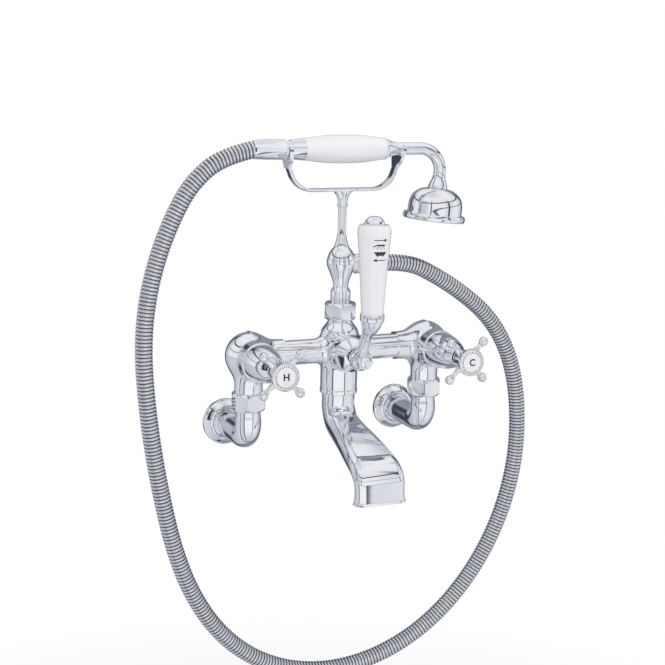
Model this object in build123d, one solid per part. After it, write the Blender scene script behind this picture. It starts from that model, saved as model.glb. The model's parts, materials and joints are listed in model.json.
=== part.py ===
from build123d import *

import os
from math import asin, cos, pi, radians, sin, sqrt, tan

# Wall-mounted bath and shower mixer with a hand shower on a cradle. Millimetres.
# Origin: on the wall, midway between the two inlets. +X to the right, -Y out from the wall, +Z up.
# "Reach" values are distances out from the wall.

# Layout
inlet_spacing = 180.0
body_reach = 65.0
valve_height = 77.5

# Clearances
running_gap = 0.05
thread_gap = 0.10
slip_gap = 0.15
free_gap = 0.30

# Wall elbows and their cover flanges
elbow_radius = 12.0
elbow_neck_radius = 11.0
elbow_bore = 8.0
elbow_bend = 15.0
elbow_drop = 43.2
elbow_top = valve_height - elbow_drop
inlet_thread_radius = 9.3
inlet_thread_depth = 12.0
elbow_collar_radius = 12.9
elbow_collar_height = 3.0
flange_radius = 22.3
flange_depth = 10.2
flange_wall = 2.4

# Union nuts
union_flats = 30.5
union_bottom = elbow_top - 7.1
union_top = elbow_top + 9.3
union_chamfer = 2.6
nut_turn = 8.0
union_washer_height = 2.0

# Valve housings
ball_radius = 21.8
ball_sink = 0.06
tail_radius = 13.0
tail_bore = 8.5
tail_flare = 8.0
sleeve_radius = 13.2
sleeve_length = 33.0
sleeve_end = inlet_spacing / 2 - sleeve_length
sleeve_flare = 45.0
socket_depth = 10.0
boss_radius = 17.2
boss_flare = 3.0
bead_radius = 17.9
bead_width = 3.8
housing_depth = 31.2
housing_face = body_reach + housing_depth
chamber_radius = 12.5
seat_reach = body_reach + 1.0
pocket_radius = 7.5
pocket_depth = 13.0
pocket_reach = body_reach - pocket_depth
feed_radius = 5.2

# Ceramic disc cartridges
barrel_radius = 9.5
barrel_bore = 8.0
cartridge_flats = 24.0
cartridge_flange = 5.0
cartridge_neck = 8.5
cartridge_length = 59.0
seal_height = 1.6
disc_floor = seat_reach - 2.4
seat_step = 4.0
disc_thickness = 3.8
disc_port = 2.4
disc_port_offset = 4.2
window_radius = 3.4
spindle_radius = 4.0
spindle_foot = 5.0

# Bonnets over the cartridges
bonnet_length = 35.0
bonnet_base_radius = 16.8
bonnet_nose_radius = 7.6
bonnet_mouth = 6.6
bonnet_wall = 2.2

# Crosshead handles
hub_back = housing_face + bonnet_length - 4.2
spoke_reach = hub_back + 20.0
spoke_tip = 27.8
spoke_count = 4
spoke_waist = 1.9
spoke_root = 3.1
finial_radius = 4.1
hub_radius = 8.8
hub_front = spoke_reach + 5.5
hub_web = spoke_reach - 5.0
index_radius = 12.5
index_depth = 4.6
plate_radius = 11.2
plate_recess = 2.2
handle_screw_radius = 2.0

# Centre body
arm_radius = 11.5
arm_bore = 8.0
trunk_radius = 17.3
trunk_drop = 36.2
trunk_bottom = valve_height - trunk_drop
trunk_neck_radius = 10.9
trunk_neck_height = valve_height + 29.0
trunk_top = trunk_neck_height + 5.5
trunk_fillet = 7.5
diverter_boss_radius = 16.4
diverter_face = body_reach + 23.0
diverter_floor = body_reach - 11.0
riser_bore = 4.0
spout_socket_radius = 12.0
spout_socket_top = trunk_bottom + 10.7

# Diverter
diverter_bonnet_end = diverter_face + 11.6
diverter_disc_floor = diverter_floor + seal_height
hub_ball_radius = 13.0
hub_ball_reach = diverter_bonnet_end + 12.4
button_radius = 5.8
button_front = hub_ball_reach + hub_ball_radius + 2.0
lever_lean = 22.0
lever_reach = hub_ball_reach + lever_lean
lever_neck_radius = 5.4
grip_rise = 46.0
grip_seat = valve_height + grip_rise
grip_length = 79.1
grip_top = grip_seat + grip_length
grip_foot_radius = 9.9
grip_head_radius = 14.9
grip_bore = 3.0
tie_rod_radius = 2.4
cap_radius = 9.2
cap_height = 7.4

# Spout
spout_collar_radius = 17.7
spout_collar_height = 4.9
spout_wall = 2.3
spout_spigot_bore = 9.0

# Hose riser
riser_nut_flats = 28.6
riser_nut_top = trunk_neck_height + 15.8
riser_radius = 9.3
riser_washer_height = 1.5
riser_collar_height = 3.0
riser_waist = 5.8
bulb_radius = 13.9
outlet_height = trunk_top + 45.5
stem_radius = 3.9
stem_length = 53.5
stem_top = outlet_height + stem_length
stem_pin_radius = 2.6
stem_pin_length = 8.0
outlet_face = 16.5
outlet_bore = 4.5
hose_nut_length = 23.5
hose_nut_flats = 17.0
hose_nut_wide = 9.5
hose_nut_narrow = 8.4
thread_radius = 6.2
thread_length = 10.0

# Cradle
strap_thickness = 3.0
strap_width = 10.0
strap_height = stem_top + 15.5
strap_bend = 22.0
strap_slope = 20.0
fork_left = 54.5
fork_right = 53.5
fork_lean = 16.0
fork_thickness = 3.0
fork_half_width = 12.0
gusset_half_width = 9.0
handset_height = strap_height + 36.8
fork_bottom = handset_height - 15.3
fork_top = handset_height + 3.0

# Hand shower
handset_nut_end = -fork_left - 4.2
handset_nut_start = handset_nut_end - 29.3
groove_radius = 6.6
groove_end = 2.1 - fork_left
ferrule_radius = 10.0
grip_end = 39.5
barrel_swell = 12.9
tube_radius = 5.65
tube_bore = 4.2
tube_start = fork_right + 1.8
liner_radius = 5.0
liner_bore = 3.9
bend_start = tube_start + 23.2
bend_radius = 21.0
rose_tilt = 6.0
rose_neck_length = 14.0
rose_neck_radius = 9.2
rose_dome_radius = 25.8
rose_dome_length = 24.5
rose_rim_radius = 29.0
rose_rim_height = 6.0
rose_wall = 1.8
nozzle_radius = 0.9
nozzle_rings = ((7.0, 6), (14.0, 12), (21.0, 18))

# Shower hose
hose_radius = 8.0
hose_bore = 5.2
hose_rib_depth = 1.0
hose_rib_count = 110
hose_start_run = 29.0
hose_end_run = 29.0
hose_corners = [
    (-144.0, 91.5), (-162.0, 62.5), (-176.0, 23.5), (-185.5, -20.5), (-189.0, -67.5),
    (-186.0, -115.5), (-180.0, -163.5), (-171.5, -210.5), (-161.0, -256.5), (-145.0, -300.5),
    (-121.0, -340.5), (-88.0, -372.5), (-47.0, -393.5), (-2.0, -401.5), (43.0, -396.5),
    (85.0, -380.5), (122.0, -354.5), (152.0, -321.5), (175.0, -283.5), (190.0, -243.5),
    (198.0, -201.5), (198.0, -159.5), (192.0, -119.5), (178.0, -83.5), (156.0, -54.5),
    (128.0, -32.5), (99.0, -14.5),
]


def front_axis(x, height=valve_height):
    """Line out of the wall at x: base, direction, radial direction."""
    return (x, 0, height), (0, -1, 0), (1, 0, 0)


def upright_axis(x):
    """Vertical line through the body axis at x."""
    return (x, -body_reach, 0), (0, 0, 1), (1, 0, 0)


def lever_axis():
    """Upright line through the middle of the lever's grip."""
    return (0, -lever_reach, 0), (0, 0, 1), (1, 0, 0)


def cross_axis(height, side=1):
    """Line along X through the body axis at a height, pointing right for side 1 and left for -1."""
    return (0, -body_reach, height), (side, 0, 0), (0, 0, 1)


def rounded_outline(corners):
    """Closed outline from corners (u, v) or (u, v, radius), with an arc at each rounded corner."""
    points = [Vector(*corner[:2]) for corner in corners]
    radii = [corner[2] if len(corner) > 2 else 0 for corner in corners]
    entries = []
    exits = []
    edges = []
    for index, point in enumerate(points):
        before = (points[index - 1] - point).normalized()
        after = (points[(index + 1) % len(points)] - point).normalized()
        half_angle = radians(before.get_angle(after)) / 2
        setback = radii[index] / tan(half_angle)
        entries.append(point + before * setback)
        exits.append(point + after * setback)
        if radii[index]:
            bisector = (before + after).normalized()
            nearest = point + bisector * (radii[index] / sin(half_angle) - radii[index])
            edges.append(ThreePointArc(entries[index], nearest, exits[index]))
    for index, start in enumerate(exits):
        end = entries[(index + 1) % len(points)]
        if (end - start).length > 0.001:
            edges.append(Line(start, end))
    return make_face(edges)


def profile_plane(axis):
    """Plane whose first direction is the radius and whose second runs along the axis."""
    base, along, across = axis
    return Plane(origin=base, x_dir=across, z_dir=Vector(*across).cross(Vector(*along)))


def turned(corners, axis):
    """Solid of revolution from corners (radius, distance along the axis[, corner radius])."""
    face = profile_plane(axis) * rounded_outline(corners)
    return revolve(face, axis=Axis(axis[0], axis[1]))


def turned_curve(radii_and_heights, axis, inner=0.0):
    """Solid of revolution whose side is one smooth curve through (radius, height) points."""
    side = Spline(*radii_and_heights)
    first = radii_and_heights[0]
    last = radii_and_heights[-1]
    top = Line(last, (inner, last[1]))
    core = Line((inner, last[1]), (inner, first[1]))
    bottom = Line((inner, first[1]), first)
    face = profile_plane(axis) * make_face([side, top, core, bottom])
    return revolve(face, axis=Axis(axis[0], axis[1]))


def rod(radius, start, end, axis):
    """Plain round bar between two distances along an axis."""
    return turned([(0, start), (radius, start), (radius, end), (0, end)], axis)


def ring(inner, outer, start, end, axis):
    """Plain round ring."""
    return turned([(inner, start), (outer, start), (outer, end), (inner, end)], axis)


def hexagon(flats, start, end, axis, turn=0.0):
    """Six-sided bar between two distances along an axis."""
    base, along, across = axis
    plane = Plane(origin=Vector(*base) + Vector(*along) * start, x_dir=across, z_dir=along)
    outline = Rot(0, 0, turn) * RegularPolygon(flats / 2, 6, major_radius=False)
    return extrude(plane * outline, end - start)


def hexagon_nut(flats, start, end, axis, chamfer, turn=0.0):
    """Six-sided nut with turned chamfers at both ends."""
    corner = flats / sqrt(3)
    barrel = turned(
        [
            (0, start), (flats / 2 - 0.2, start), (corner + 0.1, start + chamfer),
            (corner + 0.1, end - chamfer), (flats / 2 - 0.2, end), (0, end),
        ],
        axis,
    )
    return hexagon(flats, start, end, axis, turn) & barrel


def flare_points(ball, stem, flare):
    """Where a concave fillet touches the ball, its middle and where it meets the stem."""
    rise = sqrt((ball + flare) ** 2 - (stem + flare) ** 2)
    share = ball / (ball + flare)
    touch = ((stem + flare) * share, rise * share)
    middle_angle = (asin((stem + flare) / (ball + flare)) + pi / 2) / 2
    middle = (stem + flare - flare * sin(middle_angle), rise - flare * cos(middle_angle))
    return touch, middle, (stem, rise)


def ball_with_stem(ball, stem, flare, length, axis):
    """Ball round the axis base with a round stem that leaves it in a concave fillet."""
    touch, middle, foot = flare_points(ball, stem, flare)
    face = profile_plane(axis) * make_face(
        [
            ThreePointArc((0, -ball), (ball, 0), touch),
            ThreePointArc(touch, middle, foot),
            Line(foot, (stem, length)),
            Line((stem, length), (0, length)),
            Line((0, length), (0, -ball)),
        ]
    )
    return revolve(face, axis=Axis(axis[0], axis[1]))


def flared_stem(ball, stem, flare, length, axis):
    """Round stem with a concave fillet that runs just under the surface of a ball at the axis base."""
    touch, middle, foot = flare_points(ball - ball_sink, stem, flare)
    face = profile_plane(axis) * make_face(
        [
            Line((0, 0), touch),
            ThreePointArc(touch, middle, foot),
            Line(foot, (stem, length)),
            Line((stem, length), (0, length)),
            Line((0, length), (0, 0)),
        ]
    )
    return revolve(face, axis=Axis(axis[0], axis[1]))


def save(name, solid):
    """Write one piece to its own file."""
    export_step(solid, f"parts/{name}.step")


# Water ways


def elbow_route(x, top):
    """Centre line of a wall elbow: out of the wall, then up."""
    return FilletPolyline((x, 0, 0), (x, -body_reach, 0), (x, -body_reach, top), radius=elbow_bend)


def wall_elbow(x):
    """Elbow out of the wall, turned up into the union nut, with an inlet thread at the wall."""
    bend_top = elbow_bend + 2
    collar_bottom = elbow_top - elbow_collar_height
    wall_end = Plane(origin=(x, 0, 0), z_dir=(0, -1, 0))
    outside = sweep(wall_end * Circle(elbow_radius), path=elbow_route(x, bend_top))
    neck = turned(
        [
            (0, bend_top), (elbow_radius, bend_top), (elbow_neck_radius, union_bottom),
            (elbow_neck_radius, collar_bottom), (elbow_collar_radius, collar_bottom),
            (elbow_collar_radius, elbow_top), (0, elbow_top),
        ],
        upright_axis(x),
    )
    bore = sweep(wall_end * Circle(elbow_bore), path=elbow_route(x, elbow_top))
    thread = rod(inlet_thread_radius, 0, inlet_thread_depth, front_axis(x, 0))
    return outside + neck - bore - thread


def wall_flange(x):
    """Pressed cover flange: stepped rim on the wall, raised lip and a recess round the elbow."""
    bore = elbow_radius + slip_gap
    lip = flange_radius - 5.6
    return turned(
        [
            (flange_radius - flange_wall, 0), (flange_radius, 0), (flange_radius, 3.8, 1.0),
            (flange_radius - 1.6, 4.6, 0.6), (lip + 1.6, flange_depth - 1.2, 1.6),
            (lip - 0.8, flange_depth, 1.0), (lip - 2.6, flange_depth - 3.0, 0.6),
            (bore, flange_depth - 3.4), (bore, flange_depth - 5.4),
            (lip, flange_depth - 5.8, 1.0), (flange_radius - flange_wall, 2.2, 0.8),
        ],
        front_axis(x, 0),
    )


def union_nut(x):
    """Captive nut: its lip pulls the elbow's collar up against the housing's tail."""
    axis = upright_axis(x)
    lip_top = elbow_top - elbow_collar_height
    body = hexagon_nut(union_flats, union_bottom, union_top, axis, union_chamfer, nut_turn)
    lip_bore = rod(elbow_neck_radius + slip_gap, union_bottom, lip_top, axis)
    thread = rod(tail_radius + thread_gap, lip_top, union_top, axis)
    return body - lip_bore - thread


def union_washer(x):
    """Flat fibre washer between the elbow's collar and the housing's tail."""
    return ring(elbow_bore + 0.2, elbow_collar_radius - 0.2, elbow_top, elbow_top + union_washer_height,
                upright_axis(x))


def housing(side):
    """Valve housing: a ball with a tail for the union nut, a sleeve for the arm and a front boss."""
    x = side * inlet_spacing / 2
    tail_end = elbow_top + union_washer_height
    upright = upright_axis(x)
    inward = ((x, -body_reach, valve_height), (-side, 0, 0), (0, 0, 1))
    front = front_axis(x)
    tail_axis = ((x, -body_reach, valve_height), (0, 0, -1), (1, 0, 0))
    tail = flared_stem(ball_radius, tail_radius, tail_flare, valve_height - tail_end, tail_axis)
    ball = ball_with_stem(ball_radius, sleeve_radius, sleeve_flare, sleeve_length, inward)
    boss_axis = ((x, -body_reach, valve_height), (0, -1, 0), (1, 0, 0))
    boss = flared_stem(ball_radius, boss_radius, boss_flare, housing_face - body_reach, boss_axis)
    bead_back = housing_face - bead_width
    bead = turned(
        [
            (0, bead_back), (bead_radius, bead_back, 1.7), (bead_radius, housing_face, 1.7),
            (0, housing_face),
        ],
        front,
    )
    solid = ball + tail + boss + bead
    chamber = rod(chamber_radius, seat_reach, housing_face, front)
    seat = rod(barrel_radius + thread_gap, seat_reach - seat_step, seat_reach, front)
    pocket = rod(pocket_radius, pocket_reach, seat_reach - seat_step, front)
    feed_height = tail_end + 18
    inlet = rod(tail_bore, tail_end, feed_height, upright)
    feed_axis = ((x, -(pocket_reach + feed_radius + 0.6), 0), (0, 0, 1), (1, 0, 0))
    feed = rod(feed_radius, feed_height - 6, valve_height, feed_axis)
    socket = rod(arm_radius + thread_gap, sleeve_length - socket_depth, sleeve_length, inward)
    outlet = rod(arm_bore, 10, sleeve_length, inward)
    return solid - chamber - seat - pocket - inlet - feed - socket - outlet


def cartridge(x, start, floor, face):
    """Brass cartridge body: barrel with side windows, thread, hexagon flange and neck for the spindle."""
    axis = front_axis(x)
    end = start + cartridge_length
    flange_end = face + cartridge_flange
    barrel = rod(barrel_radius, start, face - 11, axis)
    thread = rod(chamber_radius - thread_gap, face - 12, face, axis)
    flange = hexagon(cartridge_flats, face, flange_end, axis, 30)
    neck = turned(
        [(0, flange_end), (cartridge_neck, flange_end), (cartridge_neck, end - 5), (6.2, end), (0, end)],
        axis,
    )
    chamber_end = floor + 2 * disc_thickness + 0.1 + spindle_foot + free_gap
    chamber = rod(barrel_bore, start - 1, chamber_end, axis)
    stem_hole = rod(spindle_radius + running_gap, chamber_end - 1, end, axis)
    window_reach = floor + 2 * disc_thickness + 3
    window_axis = ((x - 15, -window_reach, valve_height), (1, 0, 0), (0, 0, 1))
    windows = rod(window_radius, 0, 30, window_axis)
    return barrel + thread + flange + neck - chamber - stem_hole - windows


def fixed_disc(x, floor):
    """Lower ceramic disc with two ports, held still in the barrel."""
    axis = front_axis(x)
    disc = rod(barrel_bore - running_gap, floor, floor + disc_thickness, axis)
    for offset in (-disc_port_offset, disc_port_offset):
        disc -= rod(disc_port, floor, floor + disc_thickness, front_axis(x + offset))
    return disc


def cartridge_seal(x, floor):
    """Rubber lip seal between the fixed disc and the seat."""
    return ring(5.0, barrel_bore - 0.4, floor - seal_height, floor, front_axis(x))


def moving_disc(x, floor):
    """Upper ceramic disc: it turns over the ports of the fixed one."""
    axis = front_axis(x)
    start = floor + disc_thickness + 0.1
    disc = rod(barrel_bore - free_gap, start, start + disc_thickness, axis)
    for offset in (-disc_port_offset, disc_port_offset):
        port_axis = ((x, 0, valve_height + offset), (0, -1, 0), (1, 0, 0))
        disc -= rod(disc_port, start, start + disc_thickness, port_axis)
    slot = Pos(x, -(start + disc_thickness), valve_height) * Box(11, 3.0, 2.4)
    return disc - slot


def spindle(x, floor, end):
    """Spindle: a foot with a tongue that drives the disc, and a stem with a tapped end."""
    axis = front_axis(x)
    start = floor + 2 * disc_thickness + 0.1
    foot = rod(barrel_bore - free_gap, start, start + spindle_foot, axis)
    stem = rod(spindle_radius, start, end, axis)
    tongue = Pos(x, -(start - 0.6), valve_height) * Box(10, 1.4, 2.1)
    tapped = rod(handle_screw_radius + thread_gap, end - 13, end, axis)
    return foot + stem + tongue - tapped


def bonnet(x):
    """Bell-shaped shroud over the cartridge, seated on the housing's front face."""
    axis = front_axis(x)
    end = housing_face + bonnet_length
    outside = [
        (bonnet_base_radius, housing_face),
        (bonnet_base_radius - 0.5, housing_face + 8),
        (bonnet_base_radius - 2.1, housing_face + 17.5),
        (bonnet_base_radius - 4.9, housing_face + 27),
        (bonnet_nose_radius, end),
    ]
    inside = [(radius - bonnet_wall, reach - 0.8 * (reach - housing_face) / bonnet_length * bonnet_wall)
              for radius, reach in outside]
    shell = turned_curve(outside, axis) - turned_curve(inside, axis)
    return shell - rod(bonnet_mouth, housing_face, end, axis)


# Handles


def crosshead(x):
    """Four turned spokes with finials round a hub that is splined on the spindle."""
    axis = front_axis(x)
    hub = turned(
        [
            (0, hub_back), (bonnet_mouth - 0.6, hub_back, 0.4), (bonnet_mouth - 0.6, hub_back + 7, 1.5),
            (hub_radius, spoke_reach - 7, 2.0), (hub_radius, spoke_reach + 2.5, 1.5),
            (index_radius - 2.2, hub_front - 1.2, 0.8), (index_radius - 2.2, hub_front), (0, hub_front),
        ],
        axis,
    )
    solid = hub
    for index in range(spoke_count):
        angle = radians(45 + 360 / spoke_count * index)
        along = (cos(angle), 0, sin(angle))
        spoke_axis = ((x, -spoke_reach, valve_height), along, (0, 1, 0))
        solid += turned(
            [
                (0, hub_radius - 3), (spoke_root + 0.5, hub_radius - 3), (spoke_root, hub_radius + 1.5, 4),
                (spoke_waist, 16.5, 6), (spoke_waist, 19.0, 0.8), (spoke_waist + 1.1, 19.6, 0.5),
                (spoke_waist + 0.9, 20.6, 0.4), (finial_radius, 22.4, 1.2), (finial_radius, 25.2, 1.4),
                (spoke_waist + 0.6, spoke_tip - 0.4, 0.8), (1.2, spoke_tip), (0, spoke_tip),
            ],
            spoke_axis,
        )
    spline_hole = rod(spindle_radius + running_gap, hub_back, hub_web - 2, axis)
    screw_hole = rod(handle_screw_radius + slip_gap, hub_web - 3, hub_web, axis)
    counterbore = rod(6.0, hub_web, hub_front, axis)
    return solid - spline_hole - screw_hole - counterbore


def handle_screw(x):
    """Round-headed screw that holds the crosshead on the spindle."""
    axis = front_axis(x)
    shank = rod(handle_screw_radius, hub_web - 12, hub_web + 1, axis)
    head = turned(
        [(0, hub_web), (3.9, hub_web), (3.9, hub_web + 2.6, 1.2), (0, hub_web + 2.6)],
        axis,
    )
    slot = Pos(x, -(hub_web + 2.6), valve_height) * Box(9, 2.0, 1.0)
    return shank + head - slot


def index_bezel(x):
    """Screwed cup that closes the hub and holds the index plate."""
    axis = front_axis(x)
    front = hub_front + index_depth
    cup = turned(
        [
            (0, hub_front), (index_radius - 0.8, hub_front, 0.5), (index_radius, hub_front + 1.2, 0.6),
            (index_radius, front, 0.9), (plate_radius + running_gap, front),
            (plate_radius + running_gap, front - plate_recess), (0, front - plate_recess),
        ],
        axis,
    )
    spigot = ring(4.4, 6.0 - thread_gap, hub_front - 5, hub_front + 1, axis)
    return cup + spigot


def index_plate(x):
    """Slightly domed ceramic disc."""
    back = hub_front + index_depth - plate_recess
    return turned(
        [
            (0, back), (plate_radius, back), (plate_radius, back + plate_recess - 0.5, 0.5),
            (6.0, back + plate_recess + 0.2, 12), (0, back + plate_recess + 0.3),
        ],
        front_axis(x),
    )


# Centre of the tap


def centre_body():
    """Casting with two arms, a trunk from the spout up to the riser, and a boss for the diverter."""
    upright = upright_axis(0)
    front = front_axis(0)
    cross = cross_axis(valve_height)
    arm_end = sleeve_end + socket_depth
    shoulder = valve_height + arm_radius + trunk_fillet + 0.2
    trunk = rod(trunk_radius, trunk_bottom, shoulder, (upright[0], upright[1], (0, 1, 0)))
    arms = rod(arm_radius, -arm_end, arm_end, cross)
    solid = trunk + arms
    junctions = [edge for edge in solid.edges() if edge.geom_type not in (GeomType.CIRCLE, GeomType.LINE)]
    solid = fillet(junctions, trunk_fillet)
    solid += turned_curve(
        [
            (trunk_radius, shoulder),
            (trunk_radius - 0.9, shoulder + 2.6),
            (trunk_neck_radius + 2.2, trunk_neck_height - 3.4),
            (trunk_neck_radius, trunk_neck_height),
        ],
        upright,
    )
    solid += rod(trunk_neck_radius, trunk_neck_height - 0.5, trunk_top, upright)
    solid += turned(
        [
            (0, body_reach), (diverter_boss_radius, body_reach), (diverter_boss_radius, diverter_face, 1.2),
            (0, diverter_face),
        ],
        front,
    )
    chamber = rod(chamber_radius, diverter_floor + 6, diverter_face, front)
    pocket = rod(barrel_radius + thread_gap, diverter_floor, diverter_floor + 7, front)
    socket = rod(spout_socket_radius, trunk_bottom, spout_socket_top, upright)
    spout_way = rod(spout_spigot_bore, trunk_bottom, valve_height, upright)
    riser_way = rod(riser_bore, valve_height, trunk_top, upright)
    arm_way = rod(arm_bore, -arm_end, arm_end, cross)
    return solid - chamber - pocket - socket - spout_way - riser_way - arm_way


def diverter_bonnet():
    """Domed shroud over the diverter cartridge."""
    axis = front_axis(0)
    return turned(
        [
            (14.2, diverter_face), (diverter_boss_radius, diverter_face, 0.4),
            (diverter_boss_radius, diverter_face + 4.5, 3.0), (9.6, diverter_bonnet_end - 0.6, 2.0),
            (bonnet_mouth + 0.6, diverter_bonnet_end), (bonnet_mouth + 0.6, diverter_bonnet_end - 1.8),
            (14.2, diverter_face + 4.6, 2.0),
        ],
        axis,
    )


def diverter_cartridge():
    """Brass cartridge body of the diverter, with windows above and below the disc."""
    axis = front_axis(0)
    start = diverter_floor
    neck_end = diverter_bonnet_end - 3
    barrel = rod(barrel_radius, start, diverter_face - 8, axis)
    thread = rod(chamber_radius - thread_gap, diverter_face - 9, diverter_face, axis)
    flange = hexagon(cartridge_flats, diverter_face, diverter_face + 3.4, axis, 30)
    neck = rod(6.6, diverter_face + 3, neck_end, axis)
    chamber_end = diverter_disc_floor + 2 * disc_thickness + 0.1 + spindle_foot + free_gap
    chamber = rod(barrel_bore, start, chamber_end, axis)
    stem_hole = rod(spindle_radius + running_gap, chamber_end - 1, neck_end, axis)
    window_reach = diverter_disc_floor + 2 * disc_thickness + 3
    window_axis = ((0, -window_reach, valve_height - 15), (0, 0, 1), (1, 0, 0))
    windows = rod(window_radius, 0, 30, window_axis)
    return barrel + thread + flange + neck - chamber - stem_hole - windows


def lever_hub():
    """Ball hub with a curved neck that rises and leans forward to the socket of the grip."""
    axis = front_axis(0)
    ball = Pos(0, -hub_ball_reach, valve_height) * Sphere(hub_ball_radius)
    collar = rod(bonnet_mouth, diverter_bonnet_end - 2, hub_ball_reach - 8, axis)
    face = turned(
        [
            (0, hub_ball_reach), (button_radius + 1.6, hub_ball_reach),
            (button_radius + 1.2, button_front - 3.4, 0.8), (0, button_front - 3.4),
        ],
        axis,
    )
    neck_stations = [
        (hub_ball_reach + 2.0, valve_height + 6.0, 18.0, lever_neck_radius + 0.6),
        (hub_ball_reach + 6.7, valve_height + 14.5, 28.0, lever_neck_radius),
        (hub_ball_reach + 12.0, valve_height + 23.0, 34.0, lever_neck_radius + 0.4),
        (lever_reach - 5.4, grip_seat - 16.0, 36.0, lever_neck_radius + 2.5),
        (lever_reach - 2.0, grip_seat - 10.2, 16.0, grip_foot_radius),
        (lever_reach, grip_seat - 5.0, 0.0, grip_foot_radius + 0.5),
    ]
    sections = []
    for reach, height, lean, radius in neck_stations:
        direction = (0, -sin(radians(lean)), cos(radians(lean)))
        station = Plane(origin=(0, -reach, height), x_dir=(1, 0, 0), z_dir=direction)
        sections.append(station * Circle(radius))
    neck = loft(sections)
    socket = turned(
        [
            (0, grip_seat - 6.0), (grip_foot_radius + 1.0, grip_seat - 6.0, 0.4),
            (grip_foot_radius + 1.0, grip_seat, 0.6), (0, grip_seat),
        ],
        lever_axis(),
    )
    stem_hole = rod(spindle_radius + running_gap, diverter_bonnet_end - 2, hub_ball_reach - 5, axis)
    stud_hole = rod(handle_screw_radius + slip_gap, hub_ball_reach - 6, button_front, axis)
    button_seat = rod(button_radius + thread_gap, button_front - 6, button_front, axis)
    rod_hole = rod(tie_rod_radius + thread_gap, grip_seat - 9, grip_seat, lever_axis())
    return ball + collar + face + neck + socket - stem_hole - stud_hole - button_seat - rod_hole


def lever_button():
    """Round-headed screw in the front of the hub."""
    axis = front_axis(0)
    head = turned(
        [
            (0, button_front - 6), (button_radius, button_front - 6),
            (button_radius, button_front - 0.6, 1.2), (0, button_front),
        ],
        axis,
    )
    return head + rod(handle_screw_radius, hub_ball_reach - 12, button_front - 5, axis)


def lever_grip():
    """Porcelain grip that widens towards its top, bored for the tie rod."""
    axis = lever_axis()
    height = grip_top - grip_seat
    sides = [
        (grip_foot_radius, grip_seat),
        (grip_foot_radius + 0.7, grip_seat + 0.15 * height),
        (grip_foot_radius + 2.4, grip_seat + 0.5 * height),
        (grip_head_radius - 0.5, grip_seat + 0.82 * height),
        (grip_head_radius, grip_seat + 0.93 * height),
        (grip_head_radius - 1.3, grip_top - 1.0),
    ]
    body = turned_curve(sides, axis, grip_bore)
    crown = turned(
        [
            (grip_bore, grip_top - 1.0), (grip_head_radius - 1.3, grip_top - 1.0),
            (cap_radius - 0.4, grip_top), (grip_bore, grip_top),
        ],
        axis,
    )
    return body + crown


def lever_cap():
    """Domed end cap screwed on the tie rod."""
    axis = lever_axis()
    top = grip_top + cap_height
    dome = turned(
        [
            (0, grip_top), (cap_radius - 0.5, grip_top), (cap_radius, grip_top + 1.0, 0.5),
            (cap_radius - 1.3, grip_top + 3.4, 3.0), (4.6, top - 0.5, 5.0), (0, top),
        ],
        axis,
    )
    return dome - rod(tie_rod_radius + thread_gap, grip_top, grip_top + 4, axis)


def lever_rod():
    """Tie rod through the porcelain grip."""
    return rod(tie_rod_radius, grip_seat - 8.5, grip_top + 3.5, lever_axis())


# Spout


def spout_stations():
    """Stations: distance out from the root, drop, forward lean, width, thickness, corner radius."""
    return [
        (0, 0, 0, 30.6, 30.6, 15.2),
        (0, 6.4, 0, 30.6, 30.5, 15.0),
        (0.6, 14.4, 10, 30.7, 30.0, 14.6),
        (8.0, 25.9, 46, 31.5, 27.0, 12.5),
        (24.0, 32.2, 70, 34.5, 22.5, 10.0),
        (44.0, 37.4, 73, 39.5, 19.5, 8.5),
        (65.0, 44.0, 71, 44.5, 18.0, 8.0),
        (82.5, 50.4, 58, 47.6, 17.2, 7.8),
        (92.0, 58.4, 22, 48.0, 16.6, 7.6),
        (93.8, 68.4, 0, 47.4, 16.4, 7.4),
        (94.0, 75.9, 0, 48.0, 17.0, 7.6),
        (94.0, 79.4, 0, 50.0, 19.0, 8.2),
    ]


def spout_sections(inset):
    """Rounded sections square to the spout's centre line, drawn in by an inset."""
    sections = []
    for out, drop, lean, width, thickness, corner in spout_stations():
        direction = (0, -sin(radians(lean)), -cos(radians(lean)))
        centre = (0, -body_reach - out, trunk_bottom - spout_collar_height - drop)
        station = Plane(origin=centre, x_dir=(1, 0, 0), z_dir=direction)
        outline = RectangleRounded(width - 2 * inset, thickness - 2 * inset, corner - inset)
        sections.append(station * outline)
    return sections


def spout():
    """Hollow cast spout: round at its root, then wide and flat, turned down at a flared mouth."""
    upright = upright_axis(0)
    root = trunk_bottom - spout_collar_height
    outside = loft(spout_sections(0))
    inside = loft(spout_sections(spout_wall))
    lid = rod(15.0, root - 3, root, upright)
    spigot = rod(spout_socket_radius - thread_gap, root - 1, spout_socket_top - 2, upright)
    way = rod(spout_spigot_bore, root - 6, spout_socket_top - 2, upright)
    return outside - inside + (lid & outside) + spigot - way


def spout_collar():
    """Plain ring between the spout's root and the trunk."""
    return turned(
        [
            (spout_socket_radius + thread_gap, trunk_bottom - spout_collar_height),
            (spout_collar_radius, trunk_bottom - spout_collar_height, 1.2),
            (spout_collar_radius, trunk_bottom, 1.2),
            (spout_socket_radius + thread_gap, trunk_bottom),
        ],
        upright_axis(0),
    )


def spout_seal():
    """Rubber ring at the end of the spout's spigot."""
    return ring(spout_spigot_bore + 0.2, spout_socket_radius - 0.2, spout_socket_top - 2, spout_socket_top,
                upright_axis(0))


# Riser and cradle


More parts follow.
